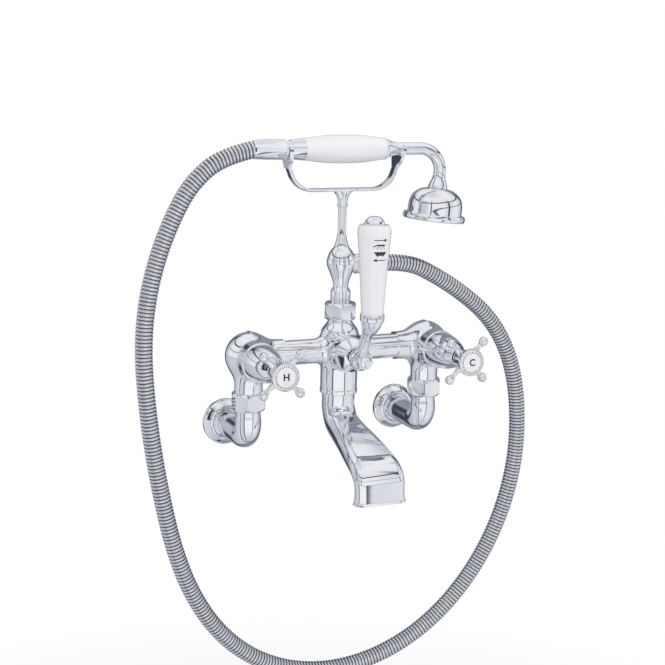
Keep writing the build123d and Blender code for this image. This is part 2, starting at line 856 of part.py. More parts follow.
def riser_nut():
    """Nut that pulls the riser's collar down on the trunk."""
    axis = upright_axis(0)
    lip_bottom = trunk_top + riser_washer_height + riser_collar_height
    body = hexagon_nut(riser_nut_flats, trunk_neck_height + 0.1, riser_nut_top, axis, 2.8, nut_turn)
    thread = rod(trunk_neck_radius + thread_gap, trunk_neck_height, lip_bottom, axis)
    lip_bore = rod(riser_radius + slip_gap, lip_bottom, riser_nut_top, axis)
    return body - thread - lip_bore


def riser_washer():
    """Fibre washer between the trunk and the riser."""
    return ring(riser_bore + 0.3, trunk_neck_radius - 0.3, trunk_top, trunk_top + riser_washer_height,
                upright_axis(0))


def hose_riser():
    """Turned riser: collar, neck, bulb with the hose outlet, and a slender stem that holds the cradle."""
    axis = upright_axis(0)
    foot = trunk_top + riser_washer_height
    collar_top = foot + riser_collar_height
    lower = turned(
        [
            (0, foot), (trunk_neck_radius, foot), (trunk_neck_radius, collar_top),
            (riser_radius, collar_top), (riser_radius, outlet_height - 21.8, 1.4),
            (riser_waist, outlet_height - 18.4, 1.6), (riser_waist, outlet_height - 17.4),
            (0, outlet_height - 17.4),
        ],
        axis,
    )
    bulb = turned_curve(
        [
            (riser_waist, outlet_height - 17.5),
            (riser_waist + 3.0, outlet_height - 9.5),
            (bulb_radius - 1.4, outlet_height - 1.5),
            (bulb_radius, outlet_height + 4.5),
            (bulb_radius - 1.1, outlet_height + 9.5),
            (bulb_radius - 3.6, outlet_height + 14.3),
            (stem_radius + 2.6, outlet_height + 19.0),
            (stem_radius, outlet_height + 28.5),
        ],
        axis,
    )
    stem = rod(stem_radius, outlet_height + 28.0, stem_top, axis)
    bead = turned(
        [
            (0, stem_top - 0.2), (stem_radius + 1.1, stem_top - 0.2, 0.8),
            (stem_radius + 1.1, stem_top + 2.0, 0.8), (0, stem_top + 2.0),
        ],
        axis,
    )
    pin = rod(stem_pin_radius, stem_top, stem_top + 2 + stem_pin_length, axis)
    across = cross_axis(outlet_height)
    outlet = turned(
        [
            (0, 6.0), (8.0, 6.0), (7.6, outlet_face - 3.6, 1.0), (9.2, outlet_face - 2.8, 0.6),
            (9.2, outlet_face, 0.6), (0, outlet_face),
        ],
        across,
    )
    thread = rod(thread_radius, outlet_face - 0.5, outlet_face + thread_length, across)
    way_up = rod(riser_bore, foot, outlet_height, axis)
    way_out = rod(outlet_bore, 0, outlet_face + thread_length, across)
    return lower + bulb + stem + bead + pin + outlet + thread - way_up - way_out


def hose_nut(axis, start, end):
    """Conical hose nut with six flats, threaded at its wide end and crimped on the hose at the other."""
    step = 1 if end > start else -1
    cone = turned(
        [
            (0, start), (hose_nut_wide - 0.4, start), (hose_nut_wide, start + 1.0 * step, 0.4),
            (hose_nut_narrow, end - 1.2 * step, 0.6), (hose_nut_narrow - 0.5, end), (0, end),
        ],
        axis,
    )
    flats = hexagon(hose_nut_flats, min(start, end), max(start, end), axis, 30)
    thread = rod(thread_radius + thread_gap, start, start + (thread_length + 1) * step, axis)
    way = rod(outlet_bore, start, end, axis)
    return (cone & flats) - thread - way


def cradle_arm(side, fork, lean, notch):
    """Half of the cradle: its strap bends up into a fork plate that may lean outward."""
    bend_top = fork_bottom + 1.0
    foot = fork - (bend_top - strap_height) * tan(radians(strap_slope))
    route = FilletPolyline(
        (0, -body_reach, strap_height), (side * foot, -body_reach, strap_height),
        (side * fork, -body_reach, bend_top), radius=strap_bend,
    )
    section = Plane(origin=(0, -body_reach, strap_height), x_dir=(0, 1, 0), z_dir=(1, 0, 0))
    strap = sweep(section * RectangleRounded(strap_width, strap_thickness, 1.3), path=route)
    square_to_plate = Vector(cos(radians(lean)), 0, -side * sin(radians(lean)))
    middle = Plane(origin=(side * fork, -body_reach, bend_top), x_dir=(0, 1, 0), z_dir=square_to_plate)
    height = (fork_top - bend_top) / cos(radians(lean))
    root = strap_width / 2
    plate = rounded_outline(
        [
            (-root, -2.5), (root, -2.5), (fork_half_width, 5.5, 5.0), (fork_half_width, height, 1.8),
            (-fork_half_width, height, 1.8), (-fork_half_width, 5.5, 5.0),
        ]
    )
    solid = strap + extrude(middle * plate, fork_thickness / 2, both=True)
    way = cross_axis(handset_height, side)
    solid -= rod(notch, fork - 6, fork + 10, way)
    return solid - Pos(side * (fork + 2), -body_reach, handset_height + 10) * Box(16, 2 * notch, 20)


def cradle():
    """Cradle: a bent strap with a fork at each end, on a gusset that screws on the riser's stem."""
    seat = stem_top + 2
    left = cradle_arm(-1, fork_left, 0, groove_radius + free_gap)
    right = cradle_arm(1, fork_right, fork_lean, tube_radius + free_gap)
    gusset_front = Plane(origin=(0, -body_reach, 0), x_dir=(1, 0, 0), z_dir=(0, -1, 0))
    gusset = rounded_outline(
        [
            (-4.2, seat), (4.2, seat), (gusset_half_width, strap_height - 1.2, 3.0),
            (gusset_half_width + 4, strap_height), (-gusset_half_width - 4, strap_height),
            (-gusset_half_width, strap_height - 1.2, 3.0),
        ]
    )
    web = extrude(gusset_front * gusset, 4.2, both=True)
    cone = turned([(0, seat), (4.4, seat), (5.2, strap_height), (0, strap_height)], upright_axis(0))
    pin_hole = rod(stem_pin_radius + thread_gap, seat, seat + stem_pin_length + 0.3, upright_axis(0))
    rounding = extrude(Plane((0, -body_reach, seat)) * Ellipse(16, 5.2), 20)
    return left + right + (web & rounding) + cone - pin_hole


# Hand shower


def handset_inlet():
    """Chrome ferrule at the hose end of the grip, with the groove that sits in the left fork."""
    axis = cross_axis(handset_height)
    solid = turned(
        [
            (0, handset_nut_end - thread_length), (thread_radius, handset_nut_end - thread_length),
            (thread_radius, handset_nut_end), (groove_radius, handset_nut_end),
            (groove_radius, groove_end, 0.3), (ferrule_radius - 1.4, groove_end, 0.5),
            (ferrule_radius - 0.6, groove_end + 8), (ferrule_radius, -grip_end), (0, -grip_end),
        ],
        axis,
    )
    way = rod(outlet_bore, handset_nut_end - thread_length, groove_end + 4, axis)
    liner_seat = rod(liner_radius + thread_gap, groove_end + 4, -grip_end, axis)
    return solid - way - liner_seat


def handset_grip():
    """Barrel-shaped porcelain grip."""
    sides = [
        (ferrule_radius, -grip_end), (ferrule_radius + 2.2, -grip_end / 2), (barrel_swell, 0),
        (ferrule_radius + 2.2, grip_end / 2), (ferrule_radius, grip_end),
    ]
    return turned_curve(sides, cross_axis(handset_height), liner_radius + free_gap)


def handset_liner():
    """Brass tube that carries the water through the grip and ties its ends together."""
    return ring(liner_bore, liner_radius, groove_end + 4, tube_start - 4, cross_axis(handset_height))


def rose_axis():
    """Axis of the shower rose: from the end of the bend, down and tilted back under the grip."""
    turn = radians(90 + rose_tilt)
    x = bend_start + bend_radius * sin(turn)
    z = handset_height - bend_radius * (1 - cos(turn))
    along = (cos(turn), 0, -sin(turn))
    across = (sin(turn), 0, cos(turn))
    return (x, -body_reach, z), along, across


def neck_route(start):
    """Centre line of the neck: along the grip, then round the bend."""
    end, along, across = rose_axis()
    middle = radians(90 + rose_tilt) / 2
    straight = Line((start, -body_reach, handset_height), (bend_start, -body_reach, handset_height))
    bend = ThreePointArc(
        (bend_start, -body_reach, handset_height),
        (
            bend_start + bend_radius * sin(middle), -body_reach,
            handset_height - bend_radius * (1 - cos(middle)),
        ),
        end,
    )
    return Wire([straight.edge(), bend.edge()])


def handset_neck():
    """Ferrule and bent neck of the hand shower, flared at the rose."""
    axis = cross_axis(handset_height)
    start = Plane(origin=(tube_start, -body_reach, handset_height), x_dir=(0, 1, 0), z_dir=(1, 0, 0))
    tube = sweep(start * Circle(tube_radius), path=neck_route(tube_start))
    ferrule = turned(
        [
            (0, grip_end), (ferrule_radius, grip_end), (ferrule_radius - 0.5, grip_end + 2.5, 4),
            (tube_radius + 0.4, grip_end + 11, 12), (tube_radius, tube_start), (0, tube_start),
        ],
        axis,
    )
    flare = turned(
        [
            (0, 0), (tube_radius, 0), (tube_radius + 0.5, rose_neck_length * 0.3, 12),
            (rose_neck_radius, rose_neck_length - 1.4, 1.0), (rose_neck_radius, rose_neck_length),
            (0, rose_neck_length),
        ],
        rose_axis(),
    )
    spigot = rod(7.0, rose_neck_length, rose_neck_length + 4, rose_axis())
    way = sweep(start * Circle(tube_bore), path=neck_route(tube_start))
    way_down = rod(tube_bore, 0, rose_neck_length + 4, rose_axis())
    liner_seat = rod(liner_radius + thread_gap, grip_end, tube_start - 4, axis)
    way_in = rod(tube_bore, tube_start - 5, tube_start, axis)
    return tube + ferrule + flare + spigot - way - way_down - liner_seat - way_in


def rose_shell():
    """Bell of the shower rose, with a wide rim."""
    top = rose_neck_length
    shoulder = top + rose_dome_length
    outside = [
        (8.6, top), (15.0, top + 2.2), (21.2, top + 7.0), (24.6, top + 13.5), (rose_dome_radius, shoulder),
    ]
    inside = [
        (7.6, top + rose_wall), (14.2, top + rose_wall + 2.4), (19.6, top + rose_wall + 7.0),
        (22.6, top + rose_wall + 13.0), (rose_dome_radius - rose_wall, shoulder),
    ]
    axis = rose_axis()
    dome = turned_curve(outside, axis) - turned_curve(inside, axis)
    rim = turned(
        [
            (rose_dome_radius - rose_wall, shoulder - 0.4), (rose_dome_radius, shoulder - 0.4),
            (rose_dome_radius + 0.8, shoulder), (rose_dome_radius + 0.8, shoulder + 2.2),
            (rose_dome_radius - rose_wall, shoulder + 2.2),
        ],
        axis,
    )
    return dome + rim - rod(7.0 + thread_gap, top, top + 4, axis)


def rose_ring():
    """Rounded rim ring that clamps the spray plate to the bell."""
    shoulder = rose_neck_length + rose_dome_length
    bottom = shoulder + rose_rim_height
    seat = rose_dome_radius + 0.8 + thread_gap
    return turned(
        [
            (seat, shoulder - 0.3, 0.2), (rose_rim_radius - 0.8, shoulder - 0.3, 0.8),
            (rose_rim_radius, shoulder + 2.6, 2.0), (rose_rim_radius - 0.6, bottom, 1.6),
            (rose_dome_radius, bottom, 0.6), (rose_dome_radius, bottom - 1.6), (seat, bottom - 1.6),
        ],
        rose_axis(),
    )


def rose_face():
    """Spray plate with rings of nozzle holes."""
    base, along, across = rose_axis()
    top = rose_neck_length + rose_dome_length + 2.2
    bottom = rose_neck_length + rose_dome_length + rose_rim_height - 1.6
    plate = rod(rose_dome_radius + 0.8, top, bottom, rose_axis())
    boss = turned(
        [
            (0, top), (rose_dome_radius - 0.4, top), (rose_dome_radius - 0.4, bottom + 0.6, 0.4),
            (10.0, bottom + 1.4, 30.0), (0, bottom + 1.5),
        ],
        rose_axis(),
    )
    plane = Plane(origin=Vector(*base) + Vector(*along) * top, x_dir=across, z_dir=along)
    holes = []
    for radius, count in nozzle_rings:
        for index in range(count):
            angle = 2 * pi * index / count
            spot = Pos(radius * cos(angle), radius * sin(angle))
            holes.append(spot * RegularPolygon(nozzle_radius, 6))
    drilled = extrude(plane * Sketch(children=holes), rose_rim_height)
    return plate + boss - drilled


# Hose


def hose_route():
    """Corners of the hose's line, from the hand shower's nut round the loop to the riser's nut."""
    end = outlet_face + hose_nut_length
    route = [(handset_nut_start, handset_height), (handset_nut_start - hose_start_run, handset_height)]
    route += [(x, outlet_height + rise) for x, rise in hose_corners]
    route += [(end + hose_end_run, outlet_height), (end, outlet_height)]
    return [Vector(x, -body_reach, z) for x, z in route]


def hose_corner_radii():
    """Radius of the arc at each corner of the route: as large as its two runs allow."""
    points = hose_route()
    radii = []
    for before, corner, after in zip(points, points[1:], points[2:]):
        run_in = corner - before
        run_out = after - corner
        turn = radians(run_in.get_angle(run_out))
        radii.append(0.45 * min(run_in.length, run_out.length) / tan(turn / 2))
    return radii


def hose_line():
    """Centre line of the hose: straight runs joined by tangent arcs."""
    return FilletPolyline(*hose_route(), radius=hose_corner_radii())


def hose():
    """Ribbed metal hose: rounded ribs on a steady pitch, a smooth bore and plain ends."""
    line = hose_line()
    length = line.length
    plain_end = 2 * hose_radius
    pitch = (length - 2 * plain_end) / hose_rib_count
    root = hose_radius - hose_rib_depth
    stations = [(0, root), (plain_end, root)]
    for index in range(hose_rib_count):
        start = plain_end + index * pitch
        for share, radius in ((0.15, root), (0.38, hose_radius), (0.77, hose_radius), (1.0, root)):
            stations.append((start + share * pitch, radius))
    stations.append((length, root))
    sections = []
    for distance, radius in stations:
        share = distance / length
        station = Plane(origin=line @ share, x_dir=(0, 1, 0), z_dir=line % share)
        sections.append(station * Circle(radius))
    outside = loft(sections, ruled=True)
    first = Plane(origin=line @ 0, x_dir=(0, 1, 0), z_dir=line % 0)
    bore = sweep(first * Circle(hose_bore), path=line)
    return outside - bore


os.makedirs("parts", exist_ok=True)

for name, side in (("hot", -1), ("cold", 1)):
    x = side * inlet_spacing / 2
    save(f"wall_elbow_{name}", wall_elbow(x))
    save(f"wall_flange_{name}", wall_flange(x))
    save(f"union_nut_{name}", union_nut(x))
    save(f"union_washer_{name}", union_washer(x))
    save(f"housing_{name}", housing(side))
    save(f"cartridge_{name}", cartridge(x, seat_reach - seat_step, disc_floor, housing_face))
    save(f"cartridge_seal_{name}", cartridge_seal(x, disc_floor))
    save(f"fixed_disc_{name}", fixed_disc(x, disc_floor))
    save(f"moving_disc_{name}", moving_disc(x, disc_floor))
    save(f"spindle_{name}", spindle(x, disc_floor, hub_web - 2.2))
    save(f"bonnet_{name}", bonnet(x))
    save(f"crosshead_{name}", crosshead(x))
    save(f"handle_screw_{name}", handle_screw(x))
    save(f"index_bezel_{name}", index_bezel(x))
    save(f"index_plate_{name}", index_plate(x))

save("centre_body", centre_body())
save("diverter_bonnet", diverter_bonnet())
save("diverter_cartridge", diverter_cartridge())
save("diverter_disc", moving_disc(0, diverter_disc_floor))
save("diverter_spindle", spindle(0, diverter_disc_floor, hub_ball_reach - 5.2))
save("lever_hub", lever_hub())
save("lever_button", lever_button())
save("lever_grip", lever_grip())
save("lever_cap", lever_cap())
save("lever_rod", lever_rod())

save("spout", spout())
save("spout_collar", spout_collar())
save("spout_seal", spout_seal())

save("riser_nut", riser_nut())
save("riser_washer", riser_washer())
save("hose_riser", hose_riser())
save("cradle", cradle())
save("hose_nut_riser", hose_nut(cross_axis(outlet_height), outlet_face, outlet_face + hose_nut_length))

save("hose_nut_handset", hose_nut(cross_axis(handset_height), handset_nut_end, handset_nut_start))
save("handset_inlet", handset_inlet())
save("handset_grip", handset_grip())
save("handset_liner", handset_liner())
save("handset_neck", handset_neck())
save("rose_shell", rose_shell())
save("rose_ring", rose_ring())
save("rose_face", rose_face())

save("hose", hose())
print("hose length", round(hose_line().length, 1))
print("hose bend radii", [round(radius) for radius in hose_corner_radii()])
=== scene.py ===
import json
import math

import bmesh
import bpy
import numpy as np
from mathutils import Matrix, Vector


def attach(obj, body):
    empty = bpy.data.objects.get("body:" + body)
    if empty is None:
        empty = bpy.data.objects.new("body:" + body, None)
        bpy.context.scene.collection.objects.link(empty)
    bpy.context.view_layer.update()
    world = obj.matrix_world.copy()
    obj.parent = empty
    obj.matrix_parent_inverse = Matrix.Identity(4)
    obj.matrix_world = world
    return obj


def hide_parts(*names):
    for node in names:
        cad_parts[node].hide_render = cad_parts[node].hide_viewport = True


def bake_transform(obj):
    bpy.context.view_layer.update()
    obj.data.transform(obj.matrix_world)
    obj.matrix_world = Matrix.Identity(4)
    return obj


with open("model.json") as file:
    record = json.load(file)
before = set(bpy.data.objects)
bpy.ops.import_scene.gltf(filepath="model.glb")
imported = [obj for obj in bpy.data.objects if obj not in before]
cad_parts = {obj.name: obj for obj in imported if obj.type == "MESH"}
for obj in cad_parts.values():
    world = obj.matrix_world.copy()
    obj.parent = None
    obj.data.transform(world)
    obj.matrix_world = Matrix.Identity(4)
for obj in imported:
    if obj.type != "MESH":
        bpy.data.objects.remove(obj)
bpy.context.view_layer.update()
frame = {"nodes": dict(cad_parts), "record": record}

# The stand-point: a little left of the mixer, above it and about 1.2 m away, with the head held
# slightly askew. The frame is taken to be 665 pixels wide.
camera_place = (-0.5045, -1.1833, 0.3397)
camera_yaw, camera_pitch, camera_roll = (math.radians(angle) for angle in (23.97, 11.36, 1.18))
film_width = 36.0
focal_pixels, frame_pixels = 1341.7, 665
camera_data = bpy.data.cameras.new("camera")
camera_data.sensor_width = film_width
camera_data.lens = film_width * focal_pixels / frame_pixels
camera = bpy.data.objects.new("camera", camera_data)
bpy.context.scene.collection.objects.link(camera)
ahead = math.cos(camera_pitch)
sight = Vector((math.sin(camera_yaw) * ahead, math.cos(camera_yaw) * ahead, -math.sin(camera_pitch)))
level_right = Vector((math.cos(camera_yaw), -math.sin(camera_yaw), 0))
level_up = level_right.cross(sight)
right = level_right * math.cos(camera_roll) + level_up * math.sin(camera_roll)
up = level_up * math.cos(camera_roll) - level_right * math.sin(camera_roll)
camera_turn = Matrix((right, up, -sight)).transposed().to_4x4()
camera.matrix_world = Matrix.Translation(camera_place) @ camera_turn
bpy.context.scene.camera = camera

# The shower hose: a strip-wound metal hose over an inner tube, crimped in its two nuts.
# It leaves the hand shower's nut on the left and hangs in one wide loop to the riser.
# Its ribs are made by a tree of nodes that sets the radius along the line.
mm = 0.001
reach = 65.0
grip_level = 263.3
outlet_level = 157.5
hose_radius = 0.008
hose_groove = 0.0071
hose_pitch = 0.0033
hose_route = [
    (-0.0880, grip_level * mm), (-0.1170, 0.2570), (-0.1430, 0.2360), (-0.1590, 0.2100), (-0.1740, 0.1750),
    (-0.1850, 0.1340), (-0.1890, 0.0900), (-0.1860, 0.0420), (-0.1800, -0.0060), (-0.1715, -0.0530),
    (-0.1610, -0.0990), (-0.1450, -0.1430), (-0.1210, -0.1830), (-0.0880, -0.2150), (-0.0470, -0.2360),
    (-0.0020, -0.2440), (0.0430, -0.2390), (0.0850, -0.2230), (0.1220, -0.1970), (0.1520, -0.1640),
    (0.1750, -0.1260), (0.1900, -0.0860), (0.1980, -0.0440), (0.1980, -0.0020), (0.1920, 0.0380),
    (0.1780, 0.0740), (0.1560, 0.1030), (0.1280, 0.1250), (0.0990, 0.1430), (0.0690, outlet_level * mm),
    (0.0400, outlet_level * mm),
]


def line_object(name, points):
    """Smooth open line through its control points."""
    data = bpy.data.curves.new(name, "CURVE")
    data.dimensions = "3D"
    spline = data.splines.new("NURBS")
    spline.points.add(len(points) - 1)
    for point, place in zip(spline.points, points):
        point.co = (*place, 1.0)
    spline.order_u = 3
    spline.use_endpoint_u = True
    data.resolution_u = 12
    obj = bpy.data.objects.new(name, data)
    bpy.context.scene.collection.objects.link(obj)
    return obj


def line_points(obj):
    """Points along a line object, as Blender gives them."""
    mesh = bpy.data.meshes.new_from_object(obj.evaluated_get(bpy.context.evaluated_depsgraph_get()))
    points = [vertex.co.copy() for vertex in mesh.vertices]
    bpy.data.meshes.remove(mesh)
    return points


def new_material(name):
    """Node material, with its tree and its shader."""
    material = bpy.data.materials.new(name)
    material.use_nodes = True
    return material, material.node_tree, material.node_tree.nodes["Principled BSDF"]


def new_tree(name, kind, inputs, outputs):
    """Node tree with named inputs and outputs, and the sockets inside it that stand for them."""
    tree = bpy.data.node_groups.new(name, kind)
    for direction, sockets in (("INPUT", inputs), ("OUTPUT", outputs)):
        for label, socket_kind, *start in sockets:
            socket_type = f"NodeSocket{socket_kind}"
            socket = tree.interface.new_socket(label, in_out=direction, socket_type=socket_type)
            if start:
                socket.default_value = start[0]
    return tree, tree.nodes.new("NodeGroupInput").outputs, tree.nodes.new("NodeGroupOutput").inputs


def add_node(tree, kind, inputs=None, **settings):
    """Node with its settings, and each named input set to a value or joined to another node."""
    node = tree.nodes.new(kind)
    for setting, value in settings.items():
        setattr(node, setting, value)
    for socket, value in (inputs or {}).items():
        if isinstance(value, bpy.types.NodeSocket):
            tree.links.new(value, node.inputs[socket])
        else:
            node.inputs[socket].default_value = value
    return node


def handled_metal_group():
    """Shared effect: the haze and the faint waviness of plated or turned metal that has been handled."""
    group, given, result = new_tree("handled_metal", "ShaderNodeTree", (
        ("Colour", "Color", (0.8, 0.8, 0.8, 1.0)),
        ("Haze Colour", "Color", (0.6, 0.6, 0.6, 1.0)),
        ("Roughness", "Float", 0.06),
        ("Haze", "Float", 0.03),
        ("Haze Scale", "Float", 60.0),
        ("Waviness", "Float", 0.02),
    ), (("Colour", "Color"), ("Roughness", "Float"), ("Normal", "Vector")))
    where = add_node(group, "ShaderNodeTexCoord").outputs["Object"]
    smears = add_node(group, "ShaderNodeTexNoise", {
        "Vector": where, "Scale": given["Haze Scale"], "Detail": 5.0, "Roughness": 0.62,
    })
    spread = add_node(group, "ShaderNodeMapRange", {
        "Value": smears.outputs["Fac"], "From Min": 0.42, "From Max": 0.78,
    }).outputs["Result"]
    tint = add_node(group, "ShaderNodeMix", {
        "Factor": spread, "A": given["Colour"], "B": given["Haze Colour"],
    }, data_type="RGBA")
    dulling = add_node(group, "ShaderNodeMath", {
        0: spread, 1: given["Haze"], 2: given["Roughness"],
    }, operation="MULTIPLY_ADD")
    waves = add_node(group, "ShaderNodeTexNoise", {"Vector": where, "Scale": 140.0, "Detail": 1.0})
    bump = add_node(group, "ShaderNodeBump", {
        "Strength": given["Waviness"], "Distance": 0.0002, "Height": waves.outputs["Fac"],
    })
    group.links.new(tint.outputs["Result"], result["Colour"])
    group.links.new(dulling.outputs["Value"], result["Roughness"])
    group.links.new(bump.outputs["Normal"], result["Normal"])
    return group


handled_metal = handled_metal_group()


def metal_material(name, colour, haze_colour, roughness, haze, haze_scale, waviness):
    """Metal with the shared haze and waviness at its own strength."""
    material, tree, shader = new_material(name)
    shader.inputs["Metallic"].default_value = 1.0
    surface = add_node(tree, "ShaderNodeGroup", {
        "Colour": (*colour, 1.0), "Haze Colour": (*haze_colour, 1.0), "Roughness": roughness, "Haze": haze,
        "Haze Scale": haze_scale, "Waviness": waviness,
    }, node_tree=handled_metal)
    for label, socket in (("Colour", "Base Color"), ("Roughness", "Roughness"), ("Normal", "Normal")):
        tree.links.new(surface.outputs[label], shader.inputs[socket])
    return material


def wound_metal_material():
    """Brushed wound strip with painted shade: its colour is darkened down in the grooves between the ribs
    and left bright on the crests.
    """
    material = metal_material("hose_metal", (0.74, 0.75, 0.79), (0.60, 0.61, 0.65), 0.20, 0.08, 220.0, 0.05)
    tree = material.node_tree
    base_colour = tree.nodes["Principled BSDF"].inputs["Base Color"]
    crest = add_node(tree, "ShaderNodeAttribute", attribute_name="crest")
    shade = add_node(tree, "ShaderNodeMapRange", {
        "Value": crest.outputs["Fac"], "From Min": 0.05, "From Max": 0.5,
    })
    # Painted shade: the colour runs to near black down in the grooves, where shade falls between the ribs.
    painted_groove_shade = add_node(tree, "ShaderNodeMix", {
        "Factor": shade.outputs["Result"], "A": (0.07, 0.07, 0.085, 1.0),
        "B": base_colour.links[0].from_socket,
    }, data_type="RGBA")
    tree.links.new(painted_groove_shade.outputs["Result"], base_colour)
    return material


hose_metal = wound_metal_material()


def finish_tree(tree, geometry, finish, result):
    """Ends a tree that makes a piece: its instances made real and its finish laid on."""
    whole = add_node(tree, "GeometryNodeRealizeInstances", {"Geometry": geometry})
    coat = add_node(tree, "GeometryNodeSetMaterial", {
        "Geometry": whole.outputs["Geometry"], "Material": finish,
    })
    tree.links.new(coat.outputs["Geometry"], result)


def rib_tree():
    """Node tree: a line becomes a tube whose radius rises and falls once in every pitch."""
    tree, given, result = new_tree("hose_ribs", "GeometryNodeTree", (
        ("Line", "Geometry"), ("Pitch", "Float"), ("Rib Radius", "Float"), ("Groove Radius", "Float"),
        ("Steps Per Rib", "Int"), ("Sides", "Int"), ("Finish", "Material"),
    ), (("Tube", "Geometry"),))

    def step(operation, *values):
        """Result of one sum on sockets or numbers."""
        node = add_node(tree, "ShaderNodeMath", dict(enumerate(values)), operation=operation)
        return node.outputs["Value"]

    divide = add_node(tree, "GeometryNodeResampleCurve", {
        "Curve": given["Line"], "Length": step("DIVIDE", given["Pitch"], given["Steps Per Rib"]),
    }, mode="LENGTH")
    along = add_node(tree, "GeometryNodeSplineParameter")
    phase = step("MULTIPLY", step("DIVIDE", along.outputs["Length"], given["Pitch"]), 2 * math.pi)
    wave = step("ADD", step("MULTIPLY", step("SINE", phase), 0.5), 0.5)
    flat_wave = step("POWER", wave, 0.55)
    depth = step("SUBTRACT", given["Rib Radius"], given["Groove Radius"])
    radius = step("ADD", step("MULTIPLY", depth, flat_wave), given["Groove Radius"])
    # The wave is kept as "crest" so that the hose material can paint shade into the grooves.
    mark = add_node(tree, "GeometryNodeStoreNamedAttribute", {
        "Geometry": divide.outputs["Curve"], "Name": "crest", "Value": wave,
    }, data_type="FLOAT", domain="POINT")
    swell = add_node(tree, "GeometryNodeSetCurveRadius", {
        "Curve": mark.outputs["Geometry"], "Radius": radius,
    })
    section = add_node(tree, "GeometryNodeCurvePrimitiveCircle", {
        "Radius": 1.0, "Resolution": given["Sides"],
    })
    tube = add_node(tree, "GeometryNodeCurveToMesh", {
        "Curve": swell.outputs["Curve"], "Profile Curve": section.outputs["Curve"], "Fill Caps": True,
    })
    if "Scale" in tube.inputs:
        tree.links.new(radius, tube.inputs["Scale"])
    smooth = add_node(tree, "GeometryNodeSetShadeSmooth", {"Geometry": tube.outputs["Mesh"]})
    finish_tree(tree, smooth.outputs["Geometry"], given["Finish"], result["Tube"])
    return tree


def grown_mesh(name, carrier, tree, values):
    """Plain mesh object from a node tree on a carrier object, with the tree's inputs set by name."""
    modifier = carrier.modifiers.new(tree.name, "NODES")
    modifier.node_group = tree
    sockets = {item.name: item.identifier for item in tree.interface.items_tree if item.in_out == "INPUT"}
    for label, value in values.items():
        modifier[sockets[label]] = value
    bpy.context.view_layer.update()
    mesh = bpy.data.meshes.new_from_object(carrier.evaluated_get(bpy.context.evaluated_depsgraph_get()))
    carrier.modifiers.remove(modifier)
    mesh.name = name
    obj = bpy.data.objects.new(name, mesh)
    bpy.context.scene.collection.objects.link(obj)
    return obj


hose_line = line_object("hose_line", [(x, -reach * mm, z) for x, z in hose_route])
hose_path = line_points(hose_line)
shower_hose = grown_mesh("shower_hose", hose_line, rib_tree(), {
    "Pitch": hose_pitch, "Rib Radius": hose_radius, "Groove Radius": hose_groove,
    "Steps Per Rib": 8, "Sides": 28, "Finish": hose_metal,
})
bpy.data.objects.remove(hose_line)
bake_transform(shower_hose)
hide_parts("hose")

# The wall elbows: chromed brass castings, threaded on the supply at the wall and turned up
# through a tight bend into the union nuts.
inlets = ((-1, "hot"), (1, "cold"))
inlet_spacing = 180.0
valve_height = 77.5
elbow_radius = 12.0
elbow_bore = 8.0
elbow_bend = 15.0
pipe_sides = 72
arc_pieces = 18

chrome = metal_material("chrome", (0.86, 0.87, 0.90), (0.79, 0.80, 0.84), 0.035, 0.04, 55.0, 0.01)


def add_object(name, mesh, material):
    """New object for a mesh, with one material."""
    obj = bpy.data.objects.new(name, mesh)
    bpy.context.scene.collection.objects.link(obj)
    mesh.materials.clear()
    mesh.materials.append(material)
    return obj


def finish_sharp(obj, angle=32.0):
    """Smooth shading with crisp edges where faces meet at more than an angle."""
    obj.data.polygons.foreach_set("use_smooth", [True] * len(obj.data.polygons))
    obj.data.set_sharp_from_angle(angle=math.radians(angle))
    obj.data.update()


def rounded_points(corners, closed=True):
    """Corners (u, v[, radius]) as a list of points, with a short arc at each rounded corner."""
    result = []
    count = len(corners)
    for index, corner in enumerate(corners):
        here = Vector(corner[:2])
        radius = corner[2] if len(corner) > 2 else 0
        if not radius or (not closed and index in (0, count - 1)):
            result.append(here)
            continue
        before = (Vector(corners[index - 1][:2]) - here).normalized()
        after = (Vector(corners[(index + 1) % count][:2]) - here).normalized()
        half_angle = before.angle(after) / 2
        turn = math.pi - 2 * half_angle
        centre = here + (before + after).normalized() * (radius / math.sin(half_angle))
        start = here + before * (radius / math.tan(half_angle)) - centre
        side = 1 if before.x * after.y - before.y * after.x < 0 else -1
        pieces = max(2, math.ceil(math.degrees(turn) / 9))
        for share in range(pieces + 1):
            angle = side * turn * share / pieces
            spin = Vector((start.x * math.cos(angle) - start.y * math.sin(angle),
                           start.x * math.sin(angle) + start.y * math.cos(angle)))
            result.append(centre + spin)
    return result


def eased(a, b, c, d, t):
    """Place at a share of the way from b to c on the smooth curve through four points."""
    return 0.5 * (2 * b + (c - a) * t + (2 * a - 5 * b + 4 * c - d) * t * t
                  + (3 * b - 3 * c + d - a) * t ** 3)


def smooth_points(knots, pieces=8):
    """Points on a smooth curve through the knots."""
    ends = [2 * Vector(knots[0]) - Vector(knots[1])] + [Vector(k) for k in knots]
    ends.append(2 * Vector(knots[-1]) - Vector(knots[-2]))
    result = []
    for a, b, c, d in zip(ends, ends[1:], ends[2:], ends[3:]):
        result += [eased(a, b, c, d, share / pieces) for share in range(pieces)]
    return result + [Vector(knots[-1])]


